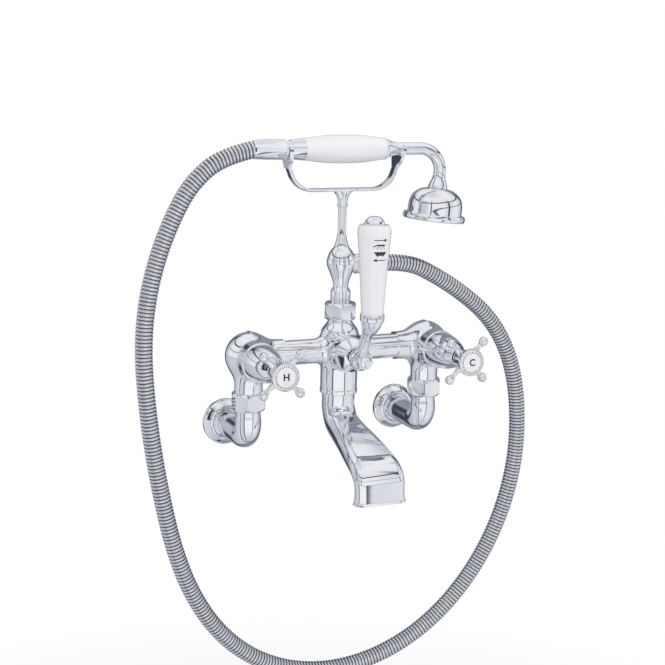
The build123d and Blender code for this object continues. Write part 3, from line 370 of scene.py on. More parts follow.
def skin(name, rings, material, closed_rows=False, caps=True, sharp=32.0):
    """Mesh through rings of equally many points; a ring of one point is a pole."""
    net = bmesh.new()
    rows = [[net.verts.new(point) for point in ring] for ring in rings]
    pairs = list(zip(rows, rows[1:] + rows[:1])) if closed_rows else list(zip(rows, rows[1:]))
    for first, second in pairs:
        count = max(len(first), len(second))
        for k in range(count):
            face = [first[k % len(first)], first[(k + 1) % len(first)],
                    second[(k + 1) % len(second)], second[k % len(second)]]
            unique = list(dict.fromkeys(face))
            if len(unique) > 2:
                net.faces.new(unique)
    if caps and not closed_rows:
        for row in (rows[0], rows[-1]):
            if len(row) > 2:
                net.faces.new(row)
    bmesh.ops.remove_doubles(net, verts=net.verts, dist=1e-7)
    bmesh.ops.recalc_face_normals(net, faces=net.faces)
    mesh = bpy.data.meshes.new(name)
    net.to_mesh(mesh)
    net.free()
    obj = add_object(name, mesh, material)
    finish_sharp(obj, sharp)
    return obj


def across_of(along):
    """A direction square to a given one."""
    along = Vector(along).normalized()
    other = Vector((1, 0, 0)) if abs(along.x) < 0.9 else Vector((0, 0, 1))
    return (other - along * other.dot(along)).normalized()


def ring_round(centre, first, second, radius, sides):
    """Circle of points in metres round a centre in millimetres, in the plane of two directions."""
    return [(centre + first * (radius * math.cos(2 * math.pi * k / sides))
             + second * (radius * math.sin(2 * math.pi * k / sides))) * mm for k in range(sides)]


def turned(name, corners, base, along, material, sides=96):
    """Turned piece: (radius, distance[, corner radius]) round an axis, all in millimetres."""
    base, along = Vector(base), Vector(along).normalized()
    first = across_of(along)
    second = along.cross(first)
    outline = corners if isinstance(corners[0], Vector) else rounded_points(corners)
    rings = []
    for radius, distance in outline:
        centre = base + along * distance
        pole = radius < 1e-6
        rings.append([centre * mm] if pole else ring_round(centre, first, second, radius, sides))
    return skin(name, rings, material, closed_rows=outline[0][0] > 1e-6, caps=False)


def pipe_rings(centres, radii, spread):
    """Rings round a path of points in millimetres, square to it, with no twist in a plane path."""
    centres = [Vector(c) for c in centres]
    spread = Vector(spread)
    rings = []
    for index, centre in enumerate(centres):
        ahead = centres[min(index + 1, len(centres) - 1)] - centres[max(index - 1, 0)]
        first = (spread - ahead * (spread.dot(ahead) / ahead.length_squared)).normalized()
        second = ahead.normalized().cross(first)
        rings.append(ring_round(centre, first, second, radii[index], pipe_sides))
    return rings


def bend_points(start, corner, end, radius):
    """Start, the arc round a corner, and end."""
    start, corner, end = Vector(start), Vector(corner), Vector(end)
    before, after = (start - corner).normalized(), (end - corner).normalized()
    half_angle = before.angle(after) / 2
    setback = radius / math.tan(half_angle)
    centre = corner + (before + after).normalized() * (radius / math.sin(half_angle))
    first, last = corner + before * setback - centre, corner + after * setback - centre
    turn = first.angle(last)
    arc = []
    for k in range(arc_pieces + 1):
        spoke = first * math.sin(turn * (1 - k / arc_pieces)) + last * math.sin(turn * k / arc_pieces)
        arc.append(centre + spoke / math.sin(turn))
    return [start] + arc + [end]


def place(piece, body, slot, *nodes):
    """The piece rides on a body and stands for its solids, which are hidden; the slot is not used."""
    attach(piece, body)
    if nodes:
        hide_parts(*nodes)


for side, name in inlets:
    x = side * inlet_spacing / 2
    outside = bend_points((x, 0, 0), (x, -reach, 0), (x, -reach, 17), elbow_bend)
    outside += [Vector((x, -reach, z)) for z in (20.5, 24.0, 27.2, 31.3, 31.3, 34.3)]
    outside_radii = [elbow_radius] * (len(outside) - 6) + [11.6, 11.2, 11.0, 11.0, 12.9, 12.9]
    inside = bend_points((x, 0, 0), (x, -reach, 0), (x, -reach, 34.3), elbow_bend)
    inside = [inside[0], Vector((x, -12, 0)), Vector((x, -12, 0))] + inside[1:]
    inside_radii = [9.3, 9.3] + [elbow_bore] * (len(inside) - 2)
    rings = pipe_rings(outside, outside_radii, spread=(1, 0, 0))
    rings += reversed(pipe_rings(inside, inside_radii, spread=(1, 0, 0)))
    elbow = skin(f"elbow_{name}", rings, chrome, closed_rows=True)
    place(elbow, "body", "chrome", f"wall_elbow_{name}")

# The wall flanges: pressed brass covers with a stepped rim that stands on the wall and a
# raised lip that closes round the elbow.
flange_radius = 22.3
flange_hole = 12.15
for side, name in inlets:
    flange = turned(f"flange_{name}", [
        (flange_radius - 2.4, 0), (flange_radius, 0), (flange_radius, 3.7, 1.2), (20.9, 4.3, 0.5),
        (20.4, 5.3, 1.2), (17.6, 9.2, 2.4), (16.0, 10.2, 0.9), (14.9, 9.8, 0.5), (13.9, 7.2, 1.5),
        (flange_hole, 6.9), (flange_hole, 4.8), (16.7, 4.4, 1.0), (flange_radius - 2.4, 2.2, 0.8),
    ], (side * inlet_spacing / 2, 0, 0), (0, -1, 0), chrome)
    place(flange, "body", "chrome", f"wall_flange_{name}")

# The union nuts: hexagon nuts with turned chamfers that pull the elbows up against the
# housings' tails. Each is bored for the elbow's neck below and the tail above.
union_flats = 30.5
union_bottom, union_top = 27.2, 43.6
union_chamfer = 4.0
union_step = 31.3
nut_turn = 8.0


def cut_with(obj, tool, operation):
    """Applies a boolean with another object and deletes that object."""
    modifier = obj.modifiers.new(operation, "BOOLEAN")
    modifier.operation = operation
    modifier.solver = "EXACT"
    modifier.object = tool
    bpy.context.view_layer.update()
    mesh = bpy.data.meshes.new_from_object(obj.evaluated_get(bpy.context.evaluated_depsgraph_get()))
    obj.modifiers.remove(modifier)
    old = obj.data
    obj.data = mesh
    bpy.data.meshes.remove(old)
    bpy.data.objects.remove(tool)


def hexagon_nut(name, flats, bottom, top, chamfer, base, material):
    """Upright six-sided nut with faintly crowned flats, trimmed by a barrel that rounds both ends."""
    corner = flats / math.sqrt(3)
    barrel = turned(name, [
        (0, bottom), (flats / 2 - 0.6, bottom, 0.3), (corner + 0.05, bottom + chamfer, chamfer),
        (corner + 0.05, top - chamfer, chamfer), (flats / 2 - 0.6, top, 0.3), (0, top),
    ], base, (0, 0, 1), material, sides=144)
    crown = 0.35
    outline = []
    for k in range(6):
        start, end = (math.radians(nut_turn + 60 * (k + turn)) for turn in (0, 1))
        for share in np.linspace(0, 1, 13)[:-1]:
            flat = (Vector((math.cos(start), math.sin(start))) * (1 - share)
                    + Vector((math.cos(end), math.sin(end))) * share)
            outline.append(flat * (corner - crown) + flat.normalized() * crown * (1 - (2 * share - 1) ** 2))
    rings = [[(Vector(base) + Vector((p.x, p.y, height))) * mm for p in outline]
             for height in (bottom - 1, top + 1)]
    cut_with(barrel, skin("prism", rings, material), "INTERSECT")
    return barrel


for side, name in inlets:
    base = (side * inlet_spacing / 2, -reach, 0)
    nut = hexagon_nut(f"union_{name}", union_flats, union_bottom, union_top, union_chamfer, base, chrome)
    bore = turned("bore", [
        (0, union_bottom - 1), (11.15, union_bottom - 1), (11.15, union_step), (13.1, union_step),
        (13.1, union_top + 1), (0, union_top + 1),
    ], base, (0, 0, 1), chrome)
    cut_with(nut, bore, "DIFFERENCE")
    finish_sharp(nut, 20.0)
    place(nut, "body", "chrome", f"union_nut_{name}")

# The valve housings: cast balls with a tail for the union nut, a long flare that runs into the
# sleeve for the arm, and a front boss with a turned bead. Their hollows are bored from the front.
ball_radius = 21.8
tail_radius = 13.0
sleeve_radius = 13.2
boss_radius = 17.2
housing_face = 96.2


def blended(first, second, width):
    """Union of two distance fields with a fillet about as wide as given."""
    mix = np.maximum(width - np.abs(first - second), 0.0) / width
    return np.minimum(first, second) - mix * mix * width * 0.25


def round_bar(points, base, along, radii, start=-1e6):
    """Distance to a round bar whose radius is a number or a function of the distance along its axis."""
    along = np.array(along, float)
    along /= np.linalg.norm(along)
    offset = points - np.array(base, float)
    distance = offset @ along
    spread = np.linalg.norm(offset - distance[:, None] * along, axis=1)
    radius = radii(distance) if callable(radii) else radii
    return np.maximum(spread - radius, start - distance)


def cast_skin(name, distance, low, high, step, material, cuts=()):
    """Smooth closed mesh on the zero level of a distance field, cut off flat at the given planes."""
    axes = [np.arange(a, b + step, step) for a, b in zip(low, high)]
    grid = np.stack(np.meshgrid(*axes, indexing="ij"), -1)
    inside = (distance(grid.reshape(-1, 3)) < 0).reshape(grid.shape[:3])
    corners = [inside[i:inside.shape[0] - 1 + i, j:inside.shape[1] - 1 + j, k:inside.shape[2] - 1 + k]
               for i in (0, 1) for j in (0, 1) for k in (0, 1)]
    total = sum(corner.astype(np.int8) for corner in corners)
    mixed = (total > 0) & (total < 8)
    number = -np.ones(mixed.shape, dtype=np.int64)
    number[mixed] = np.arange(mixed.sum())
    places = grid[:-1, :-1, :-1][mixed] + step / 2
    probe = 1e-3
    for _ in range(6):
        value = distance(places)
        slope = np.stack([(distance(places + shift) - distance(places - shift)) / (2 * probe)
                          for shift in np.eye(3) * probe], axis=1)
        length = np.maximum((slope ** 2).sum(axis=1), 0.05)
        places = places - np.clip(value / length, -step, step)[:, None] * slope
    quads = []
    for axis in range(3):
        one, two = [other for other in range(3) if other != axis]
        near = np.take(inside, np.arange(inside.shape[axis] - 1), axis)
        far = np.take(inside, np.arange(1, inside.shape[axis]), axis)
        crossing = np.argwhere(near != far)
        for other in (one, two):
            crossing = crossing[(crossing[:, other] > 0) & (crossing[:, other] < inside.shape[other] - 1)]
        steps = []
        for back_one, back_two in ((1, 1), (0, 1), (0, 0), (1, 0)):
            cell = crossing.copy()
            cell[:, one] -= back_one
            cell[:, two] -= back_two
            steps.append(number[cell[:, 0], cell[:, 1], cell[:, 2]])
        quads.append(np.stack(steps, axis=1))
    quads = np.concatenate(quads)
    quads = quads[(quads >= 0).all(axis=1)]
    mesh = bpy.data.meshes.new(name)
    mesh.from_pydata((places * mm).tolist(), [], quads.tolist())
    net = bmesh.new()
    net.from_mesh(mesh)
    for point, normal in cuts:
        point, normal = Vector(point) * mm, Vector(normal)
        bmesh.ops.bisect_plane(net, geom=net.verts[:] + net.edges[:] + net.faces[:],
                               plane_co=point, plane_no=normal, clear_outer=True)
        rim = [edge for edge in net.edges if edge.is_boundary
               and all(abs((v.co - point).dot(normal)) < 1e-6 for v in edge.verts)]
        bmesh.ops.contextual_create(net, geom=rim)
    bmesh.ops.recalc_face_normals(net, faces=net.faces)
    net.to_mesh(mesh)
    net.free()
    obj = add_object(name, mesh, material)
    finish_sharp(obj)
    return obj


for side, name in inlets:
    x = side * inlet_spacing / 2
    centre = (x, -reach, valve_height)

    def housing_skin(points):
        """Ball with its flared sleeve, tail and front boss."""
        ball = np.linalg.norm(points - np.array(centre), axis=1) - ball_radius
        inward = (points[:, 0] - x) * -side
        flare = 8.2 * np.clip(1 - inward / 34.0, 0, 1) ** 2.4
        sleeve = round_bar(points, centre, (-side, 0, 0), sleeve_radius, 0.0) - flare * (inward > 0)
        tail = round_bar(points, centre, (0, 0, -1), tail_radius, 0.0)
        boss = round_bar(points, centre, (0, -1, 0), boss_radius, 0.0)
        return blended(blended(blended(ball, sleeve, 5.0), tail, 8.0), boss, 4.0)

    low = (x - 24 if side < 0 else 56, -95, 34)
    high = (-56 if side < 0 else x + 24, -40, 102)
    housing = cast_skin(f"valve_housing_{name}", housing_skin, low, high, 1.1, chrome, cuts=[
        ((side * 57, 0, 0), (-side, 0, 0)), ((0, 0, 36.3), (0, 0, -1)), ((0, -93.6, 0), (0, -1, 0)),
    ])
    bead = turned("bead", [
        (0, 92.4), (17.3, 92.4), (17.9, 93.2, 0.8), (17.9, housing_face, 1.3), (0, housing_face),
    ], (x, 0, valve_height), (0, -1, 0), chrome, sides=128)
    cut_with(housing, bead, "UNION")
    chamber = turned("chamber", [
        (0, 52), (7.5, 52), (7.5, 62), (9.6, 62), (9.6, 66), (12.5, 66), (12.5, 98), (0, 98),
    ], (x, 0, valve_height), (0, -1, 0), chrome)
    cut_with(housing, chamber, "DIFFERENCE")
    finish_sharp(housing, 28.0)
    place(housing, "body", "chrome", f"housing_{name}")

# The bonnets: bell-shaped shrouds over the cartridges, seated on the housings' beads.
# Each is a thin shell turned in brass, open at the front for the handle's stem.
bonnet_outside = [(16.8, 96.2), (16.3, 104.2), (14.7, 113.7), (11.9, 123.2), (7.6, 131.2)]
bonnet_inside = [(14.6, 96.2), (14.1, 103.8), (12.5, 112.8), (9.7, 121.6), (6.6, 128.6)]
for side, name in inlets:
    outline = smooth_points(bonnet_outside) + [Vector((6.6, 131.2))]
    outline += reversed(smooth_points(bonnet_inside))
    base = (side * inlet_spacing / 2, 0, valve_height)
    shroud = turned(f"shroud_{name}", outline, base, (0, -1, 0), chrome, sides=128)
    place(shroud, "body", "chrome", f"bonnet_{name}")

# The crossheads: a turned hub with four turned spokes and ball finials, pressed on the spindles.
# A cup screwed in the front holds a domed white index plate with a ring and one letter.
spoke_reach = 147.0
hub_front = 152.5
porcelain_white = (0.93, 0.92, 0.96)


def mottled_colour(tree, shader, dark, light, **noise):
    """Lets the base colour wander between two tones, and returns the noise that moves it."""
    where = add_node(tree, "ShaderNodeTexCoord").outputs["Object"]
    clouds = add_node(tree, "ShaderNodeTexNoise", {"Vector": where, **noise}).outputs["Fac"]
    tone = add_node(tree, "ShaderNodeValToRGB", {"Fac": clouds})
    for element, colour in zip(tone.color_ramp.elements, (dark, light)):
        element.color = (*colour, 1)
    tree.links.new(tone.outputs["Color"], shader.inputs["Base Color"])
    return clouds


def porcelain_material():
    """White vitreous glaze over a fired body, with a very faint unevenness and tint."""
    material, tree, shader = new_material("porcelain")
    shader.inputs["Roughness"].default_value = 0.14
    shader.inputs["Coat Weight"].default_value = 0.6
    shader.inputs["Coat Roughness"].default_value = 0.04
    shaded = [value - 0.03 for value in porcelain_white]
    clouds = mottled_colour(tree, shader, shaded, porcelain_white, Scale=45.0, Detail=3.0)
    ripple = add_node(tree, "ShaderNodeBump", {"Strength": 0.03, "Distance": 0.0003, "Height": clouds})
    tree.links.new(ripple.outputs["Normal"], shader.inputs["Normal"])
    return material


porcelain = porcelain_material()


def enamel_material():
    """Black ceramic ink fired into the glaze, a little worn."""
    material, tree, shader = new_material("black_enamel")
    shader.inputs["Roughness"].default_value = 0.3
    mottled_colour(tree, shader, (0.012, 0.012, 0.014), (0.05, 0.05, 0.055), Scale=900.0)
    return material


black_enamel = enamel_material()


def letter_mesh(name, text, height, place_matrix, material):
    """Raised letter a few hundredths of a millimetre thick, as a plain mesh in its place."""
    curve = bpy.data.curves.new(name, "FONT")
    curve.body = text
    curve.size = height
    curve.align_x = "CENTER"
    curve.align_y = "CENTER"
    curve.offset = 0.00022
    curve.extrude = 0.00006
    flat = bpy.data.objects.new(name, curve)
    bpy.context.scene.collection.objects.link(flat)
    bpy.context.view_layer.update()
    mesh = bpy.data.meshes.new_from_object(flat.evaluated_get(bpy.context.evaluated_depsgraph_get()))
    bpy.data.objects.remove(flat)
    mesh.transform(place_matrix)
    return add_object(name, mesh, material)


def dash_ring_tree():
    """Node tree: short radial dashes round a circle."""
    tree, given, result = new_tree("dash_ring", "GeometryNodeTree", (
        ("Carrier", "Geometry"), ("Count", "Int"), ("Ring Radius", "Float"), ("Dash Width", "Float"),
        ("Dash Length", "Float"), ("Dash Depth", "Float"), ("Finish", "Material"),
    ), (("Dashes", "Geometry"),))
    circle = add_node(tree, "GeometryNodeMeshCircle", {
        "Vertices": given["Count"], "Radius": given["Ring Radius"],
    })
    size = add_node(tree, "ShaderNodeCombineXYZ", {
        "X": given["Dash Length"], "Y": given["Dash Width"], "Z": given["Dash Depth"],
    })
    dash = add_node(tree, "GeometryNodeMeshCube", {"Size": size.outputs["Vector"]})
    outward = add_node(tree, "GeometryNodeInputPosition")
    turn = add_node(tree, "FunctionNodeAlignRotationToVector", {
        "Vector": outward.outputs["Position"],
    }, axis="X", pivot_axis="Z")
    spread = add_node(tree, "GeometryNodeInstanceOnPoints", {
        "Points": circle.outputs["Mesh"], "Instance": dash.outputs["Mesh"],
        "Rotation": turn.outputs["Rotation"],
    })
    finish_tree(tree, spread.outputs["Instances"], given["Finish"], result["Dashes"])
    return tree


dash_ring = dash_ring_tree()


def on_plate(x, depth):
    """Place and turn of a flat mark on the front of an index plate, at a depth off the wall in metres."""
    return Matrix.Translation((x * mm, -depth, valve_height * mm)) @ Matrix.Rotation(math.pi / 2, 4, "X")


spoke = [
    (0, 5.8), (3.6, 5.8), (3.2, 10.3, 4), (1.9, 16.5, 6), (1.9, 19.0, 0.5), (3.0, 19.6, 0.4),
    (2.8, 20.6, 0.3), (4.1, 22.4, 1.2), (4.1, 25.2, 1.6), (2.5, 27.4, 0.8), (1.2, 27.8), (0, 27.8),
]
cup_floor = 154.9
for side, name in inlets:
    x = side * inlet_spacing / 2
    base = (x, 0, valve_height)
    handle = turned(f"crosshandle_{name}", [
        (0, 127), (6.0, 127, 0.4), (6.0, 134, 1.5), (8.8, 140, 2.0), (8.8, 149.5, 1.5), (10.3, 151.3, 0.8),
        (10.3, hub_front), (0, hub_front),
    ], base, (0, -1, 0), chrome)
    for index in range(4):
        angle = math.radians(45 + 90 * index)
        outward = (math.cos(angle), 0, math.sin(angle))
        arm = turned("spoke", spoke, (x, -spoke_reach, valve_height), outward, chrome, sides=40)
        cut_with(handle, arm, "UNION")
    hollow = turned("hollow", [
        (0, 126), (4.05, 126), (4.05, 140), (2.15, 140), (2.15, 142), (6.0, 142), (6.0, 154), (0, 154),
    ], base, (0, -1, 0), chrome)
    cut_with(handle, hollow, "DIFFERENCE")
    finish_sharp(handle, 30.0)
    body = f"{name}_handle"
    place(handle, body, "chrome", f"crosshead_{name}")
    cup = turned(f"index_cup_{name}", [
        (4.4, 147.5), (5.9, 147.5), (5.9, hub_front), (11.7, hub_front, 0.5), (12.5, 153.7, 0.6),
        (12.5, 157.1, 0.9), (11.25, 157.1, 0.3), (11.25, cup_floor), (4.4, cup_floor),
    ], base, (0, -1, 0), chrome)
    place(cup, body, "chrome", f"index_bezel_{name}")
    plate = turned(f"index_disc_{name}", [
        (0, cup_floor), (11.2, cup_floor), (11.2, 156.5, 0.4), (8.0, 157.1, 10), (0, 157.4),
    ], base, (0, -1, 0), porcelain)
    place(plate, body, "porcelain", f"index_plate_{name}")
    carrier = add_object("dash_carrier", bpy.data.meshes.new("dash_carrier"), black_enamel)
    dashes = grown_mesh(f"index_dashes_{name}", carrier, dash_ring, {
        "Count": 32, "Ring Radius": 0.0093, "Dash Width": 0.00055, "Dash Length": 0.0014,
        "Dash Depth": 0.0003, "Finish": black_enamel,
    })
    bpy.data.objects.remove(carrier)
    dashes.data.transform(on_plate(x, 0.15688))
    place(dashes, body, "porcelain")
    initial = "H" if side < 0 else "C"
    letter = letter_mesh(f"index_letter_{name}", initial, 0.0085, on_plate(x, 0.15738), black_enamel)
    place(letter, body, "porcelain")

# The centre body: one casting with a trunk, two arms that enter the housings' sleeves, a domed
# shoulder under the riser nut and a front boss for the diverter.
arm_radius = 11.5
trunk_radius = 17.3
trunk_bottom = 41.3
trunk_neck_radius = 10.9
trunk_top = 112.0


def body_skin(points):
    """Trunk, arms and front boss with soft fillets between them."""
    def trunk_profile(height):
        share = np.clip((height - 94.5) / 12.5, 0, 1)
        return trunk_neck_radius + (trunk_radius - trunk_neck_radius) * (0.5 + 0.5 * np.cos(np.pi * share))
    trunk = round_bar(points, (0, -reach, 0), (0, 0, 1), trunk_profile)
    arms = round_bar(points, (0, -reach, valve_height), (1, 0, 0), arm_radius)
    boss = round_bar(points, (0, -reach, valve_height), (0, -1, 0), 16.4, 0.0)
    return blended(blended(trunk, arms, 9.0), boss, 3.0)


casting = cast_skin("cast_body", body_skin, (-68.5, -90, 40), (68.5, -46, 114), 1.1, chrome, cuts=[
    ((-67, 0, 0), (-1, 0, 0)), ((67, 0, 0), (1, 0, 0)), ((0, 0, trunk_bottom), (0, 0, -1)),
    ((0, 0, trunk_top), (0, 0, 1)), ((0, -88, 0), (0, -1, 0)),
])
place(casting, "body", "chrome", "centre_body")

# The diverter: a domed shroud, then a ball hub whose curved neck leans forward and up into the
# socket of a porcelain grip. A rod through the grip holds its domed cap, and a button hides the screw.
grip_seat, grip_top = 123.5, 202.6
lever_reach = 134.0
hub_reach, hub_radius = 112.0, 10.5
collar_reach = 97.6
dome = turned("diverter_shroud", [
    (14.2, 88), (16.4, 88), (16.4, 92.5, 3.0), (9.6, 99.0, 2.0), (7.2, 99.6), (7.2, 97.8),
    (14.2, 92.6, 2.0),
], (0, 0, valve_height), (0, -1, 0), chrome)
place(dome, "body", "chrome", "diverter_bonnet")

neck_knots = [  # reach, height, radius
    (111.0, 77.5, 6.5), (114.0, 82.5, 5.3), (118.2, 91.5, 4.9), (123.0, 99.5, 5.1), (127.8, 106.5, 6.3),
    (131.4, 112.1, 8.3), (134.0, 119.0, 10.2), (134.0, 124.5, 10.2),
]


def hub_skin(points):
    """Ball hub, its rear collar, its front boss, and the neck as a chain of tapered bars."""
    ball = np.linalg.norm(points - np.array((0, -hub_reach, valve_height)), axis=1) - hub_radius
    collar = round_bar(points, (0, -collar_reach, valve_height), (0, -1, 0), 6.6, 0.0)
    collar = np.maximum(collar, -points[:, 1] - 108)
    front = round_bar(points, (0, -hub_reach, valve_height), (0, -1, 0), 7.2, 0.0)
    front = np.maximum(front, -points[:, 1] - 123.6)
    knots = smooth_points(neck_knots, 6)
    neck = np.full(len(points), 1e3)
    for first, second in zip(knots, knots[1:]):
        start = np.array((0, -first.x, first.y))
        run = np.array((0, -second.x, second.y)) - start
        share = np.clip((points - start) @ run / (run @ run), 0, 1)
        distance = np.linalg.norm(points - start - share[:, None] * run, axis=1)
        neck = np.minimum(neck, distance - (first.z + (second.z - first.z) * share))
    return blended(blended(blended(ball, collar, 2.0), front, 1.5), neck, 4.0)


hub = cast_skin("diverter_hub", hub_skin, (-15, -147, 62), (15, -96, 127), 0.9, chrome,
                cuts=[((0, 0, 117.5), (0, 0, 1)), ((0, -collar_reach, 0), (0, 1, 0))])
socket = turned("grip_socket", [
    (0, 115), (9.2, 115), (10.9, 117.5, 0.4), (10.9, grip_seat, 0.6), (0, grip_seat),
], (0, -lever_reach, 0), (0, 0, 1), chrome)
cut_with(hub, socket, "UNION")
button_seat = turned("button_seat", [
    (0, 121), (5.9, 121), (5.9, 130), (0, 130),
], (0, 0, valve_height), (0, -1, 0), chrome)
cut_with(hub, button_seat, "DIFFERENCE")
finish_sharp(hub, 30.0)
place(hub, "diverter", "chrome", "lever_hub")
button = turned("hub_button", [
    (0, 121), (5.8, 121), (5.8, 126.3, 1.0), (3.0, 127.0, 4), (0, 127.1),
], (0, 0, valve_height), (0, -1, 0), chrome)
place(button, "diverter", "chrome", "lever_button")
grip_outline = smooth_points([
    (9.9, grip_seat), (10.6, 135.4), (12.3, 163.0), (14.4, 188.4), (14.9, 197.1), (13.6, 201.6),
])
grip = turned("porcelain_lever", [
    Vector((3.0, grip_seat)), *grip_outline, Vector((12.9, 202.3)), Vector((11.5, grip_top)),
    Vector((3.0, grip_top)),
], (0, -lever_reach, 0), (0, 0, 1), porcelain, sides=112)
place(grip, "diverter", "porcelain", "lever_grip")
mark_depth, mark_rise, mark_scale = 0.2, 0.05, 1.2
mark_pieces = 6


def inlay_strip(strip, middle):
    """Thin black strip in the front of the lever's grip: a four-sided shape with upright ends.

    The shape is (left, low, high, right, low, high) in millimetres from the front line of the grip."""
    left, low_left, high_left, right, low_right, high_right = (size * mark_scale for size in strip)
    rings = []
    for share in (k / mark_pieces for k in range(mark_pieces + 1)):
        across = left + (right - left) * share
        low = middle + low_left + (low_right - low_left) * share
        high = middle + high_left + (high_right - high_left) * share
        ring = []
        for height, depth in ((low, -mark_depth), (low, mark_rise), (high, mark_rise), (high, -mark_depth)):
            radius = float(np.interp(height, [p.y for p in grip_outline], [p.x for p in grip_outline]))
            angle = across / radius
            out = radius + depth
            ring.append(Vector((out * math.sin(angle), -lever_reach - out * math.cos(angle), height)) * mm)
        rings.append(ring)
    return skin("inlay", rings, black_enamel)


def join_pieces(name, pieces, material):
    """One object of several, in one material."""
    net = bmesh.new()
    for piece in pieces:
        net.from_mesh(piece.data)
        bpy.data.meshes.remove(piece.data)
    mesh = bpy.data.meshes.new(name)
    net.to_mesh(mesh)
    net.free()
    return add_object(name, mesh, material)


# Four rows of marks are fired into the grip's front: an arrow over a shower head with its drops,
# and a bath over the other arrow.
arrow = [(-5.4, -0.3, 0.3, 3.4, -0.3, 0.3), (2.6, -1.25, 1.25, 5.4, -0.02, 0.02)]
shower = [
    (-6.2, -0.5, 0.1, -2.6, 0.5, 1.5), (-2.6, 0.3, 1.5, 2.6, 0.3, 1.5), (2.6, 0.5, 1.5, 3.6, -0.1, 0.5),
]
drops = [(-2.4, -0.9), (-0.3, -0.9), (1.8, -0.9), (-3.0, -2.1), (-0.3, -2.1), (2.4, -2.1)]
shower += [(x, low, low + 0.9, x + 0.6, low, low + 0.9) for x, low in drops]
bath = [
    (-5.0, 0.9, 1.5, 5.0, 0.9, 1.5), (-4.3, 0.2, 1.2, -3.0, -1.3, 1.2), (-3.0, -1.3, 1.2, 3.0, -1.3, 1.2),
    (3.0, -1.3, 1.2, 4.3, 0.2, 1.2), (-2.6, -2.0, -1.1, -1.8, -2.0, -1.1),
    (1.8, -2.0, -1.1, 2.6, -2.0, -1.1),
]
back_arrow = [(-right, low_right, high_right, -left, low, high)
              for left, low, high, right, low_right, high_right in arrow]
rows = ((190.4, arrow), (184.9, shower), (178.4, bath), (172.8, back_arrow))
marks = [inlay_strip(strip, middle) for middle, strips in rows for strip in strips]
lever_mark = join_pieces("lever_marks", marks, black_enamel)
place(lever_mark, "diverter", "porcelain")
cap = turned("lever_end_cap", [
    (0, grip_top), (8.7, grip_top), (9.2, 203.6, 0.5), (8.0, 206.6, 3.0), (4.6, 209.5, 5.0), (0, 210.0),
], (0, -lever_reach, 0), (0, 0, 1), chrome)
place(cap, "diverter", "chrome", "lever_cap")

# The spout: a hollow casting that starts round under a plain collar, flattens and widens as it
# leans out, and turns down at a flared mouth.
spout_stations = [  # reach, height, forward lean, width, thickness, corner radius
    (65.0, 36.4, 0, 30.6, 30.6, 15.2), (65.0, 30.0, 0, 30.6, 30.5, 15.0),
    (65.6, 22.0, 10, 30.7, 30.0, 14.6), (73.0, 10.5, 46, 31.5, 27.0, 12.5),
    (89.0, 4.2, 70, 34.5, 22.5, 10.0), (109.0, -1.0, 73, 39.5, 19.5, 8.5),
    (130.0, -7.6, 71, 44.5, 18.0, 8.0), (147.5, -14.0, 58, 47.6, 17.2, 7.8),
    (157.0, -22.0, 22, 48.0, 16.6, 7.6), (158.8, -32.0, 0, 47.4, 16.4, 7.4),
    (159.0, -39.5, 0, 48.0, 17.0, 7.6), (159.0, -43.0, 0, 50.0, 19.0, 8.2),
]
spout_crown = 2.4
spout_wall = 2.3
spout_sides = 192
station_pieces = 5


def spout_ring(station, inset):
    """Rounded and faintly crowned section of the spout, drawn in by an inset."""
    far, height, lean, width, thickness, corner = station
    half_width, half_depth, corner = width / 2 - inset, thickness / 2 - inset, corner - inset
    corner = min(corner, half_depth - 0.01)
    lean = math.radians(lean)
    centre = Vector((0, -far, height))
    out = Vector((0, -math.cos(lean), math.sin(lean)))
    ring = []
    for k in range(spout_sides):
        angle = 2 * math.pi * (k + 0.5) / spout_sides
        quarter = (1 if math.cos(angle) > 0 else -1, 1 if math.sin(angle) > 0 else -1)
        turn = math.atan2(abs(math.sin(angle)), abs(math.cos(angle)))
        u = (half_width - corner) + corner * math.cos(turn)
        v = (half_depth - corner) + corner * math.sin(turn)
        v -= spout_crown * (width - thickness) / width * (u / half_width) ** 2 * math.sin(turn)
        ring.append((centre + Vector((1, 0, 0)) * (u * quarter[0]) + out * (v * quarter[1])) * mm)
    return ring


def eased_stations(stations):
    """Stations on smooth curves through the given ones."""
    values = np.array(stations, float)
    padded = np.vstack([2 * values[0] - values[1], values, 2 * values[-1] - values[-2]])
    rows = []
    for a, b, c, d in zip(padded, padded[1:], padded[2:], padded[3:]):
        rows += [list(eased(a, b, c, d, t)) for t in np.arange(station_pieces) / station_pieces]
    return rows + [list(values[-1])]


def round_ring(radius, height):
    """Circle of the spout's round end, with its points where a section's are."""
    angles = (2 * math.pi * (k + 0.5) / spout_sides for k in range(spout_sides))
    return [(Vector((0, -reach, height)) + Vector((math.cos(a), -math.sin(a), 0)) * radius) * mm
            for a in angles]


stations = eased_stations(spout_stations)
rings = [round_ring(9.0, 33.4), round_ring(9.0, 50.0), round_ring(11.9, 50.0), round_ring(11.9, 36.4)]
rings += [spout_ring(station, 0.0) for station in stations]
rings += [spout_ring(station, spout_wall) for station in reversed(stations[3:])]
spout_piece = skin("wide_spout", rings, chrome, closed_rows=True, sharp=40.0)
place(spout_piece, "body", "chrome", "spout")
collar = turned("spout_ring", [
    (12.1, 36.4), (17.7, 36.4, 1.4), (17.7, trunk_bottom, 1.4), (12.1, trunk_bottom),
], (0, -reach, 0), (0, 0, 1), chrome)
place(collar, "body", "chrome", "spout_collar")

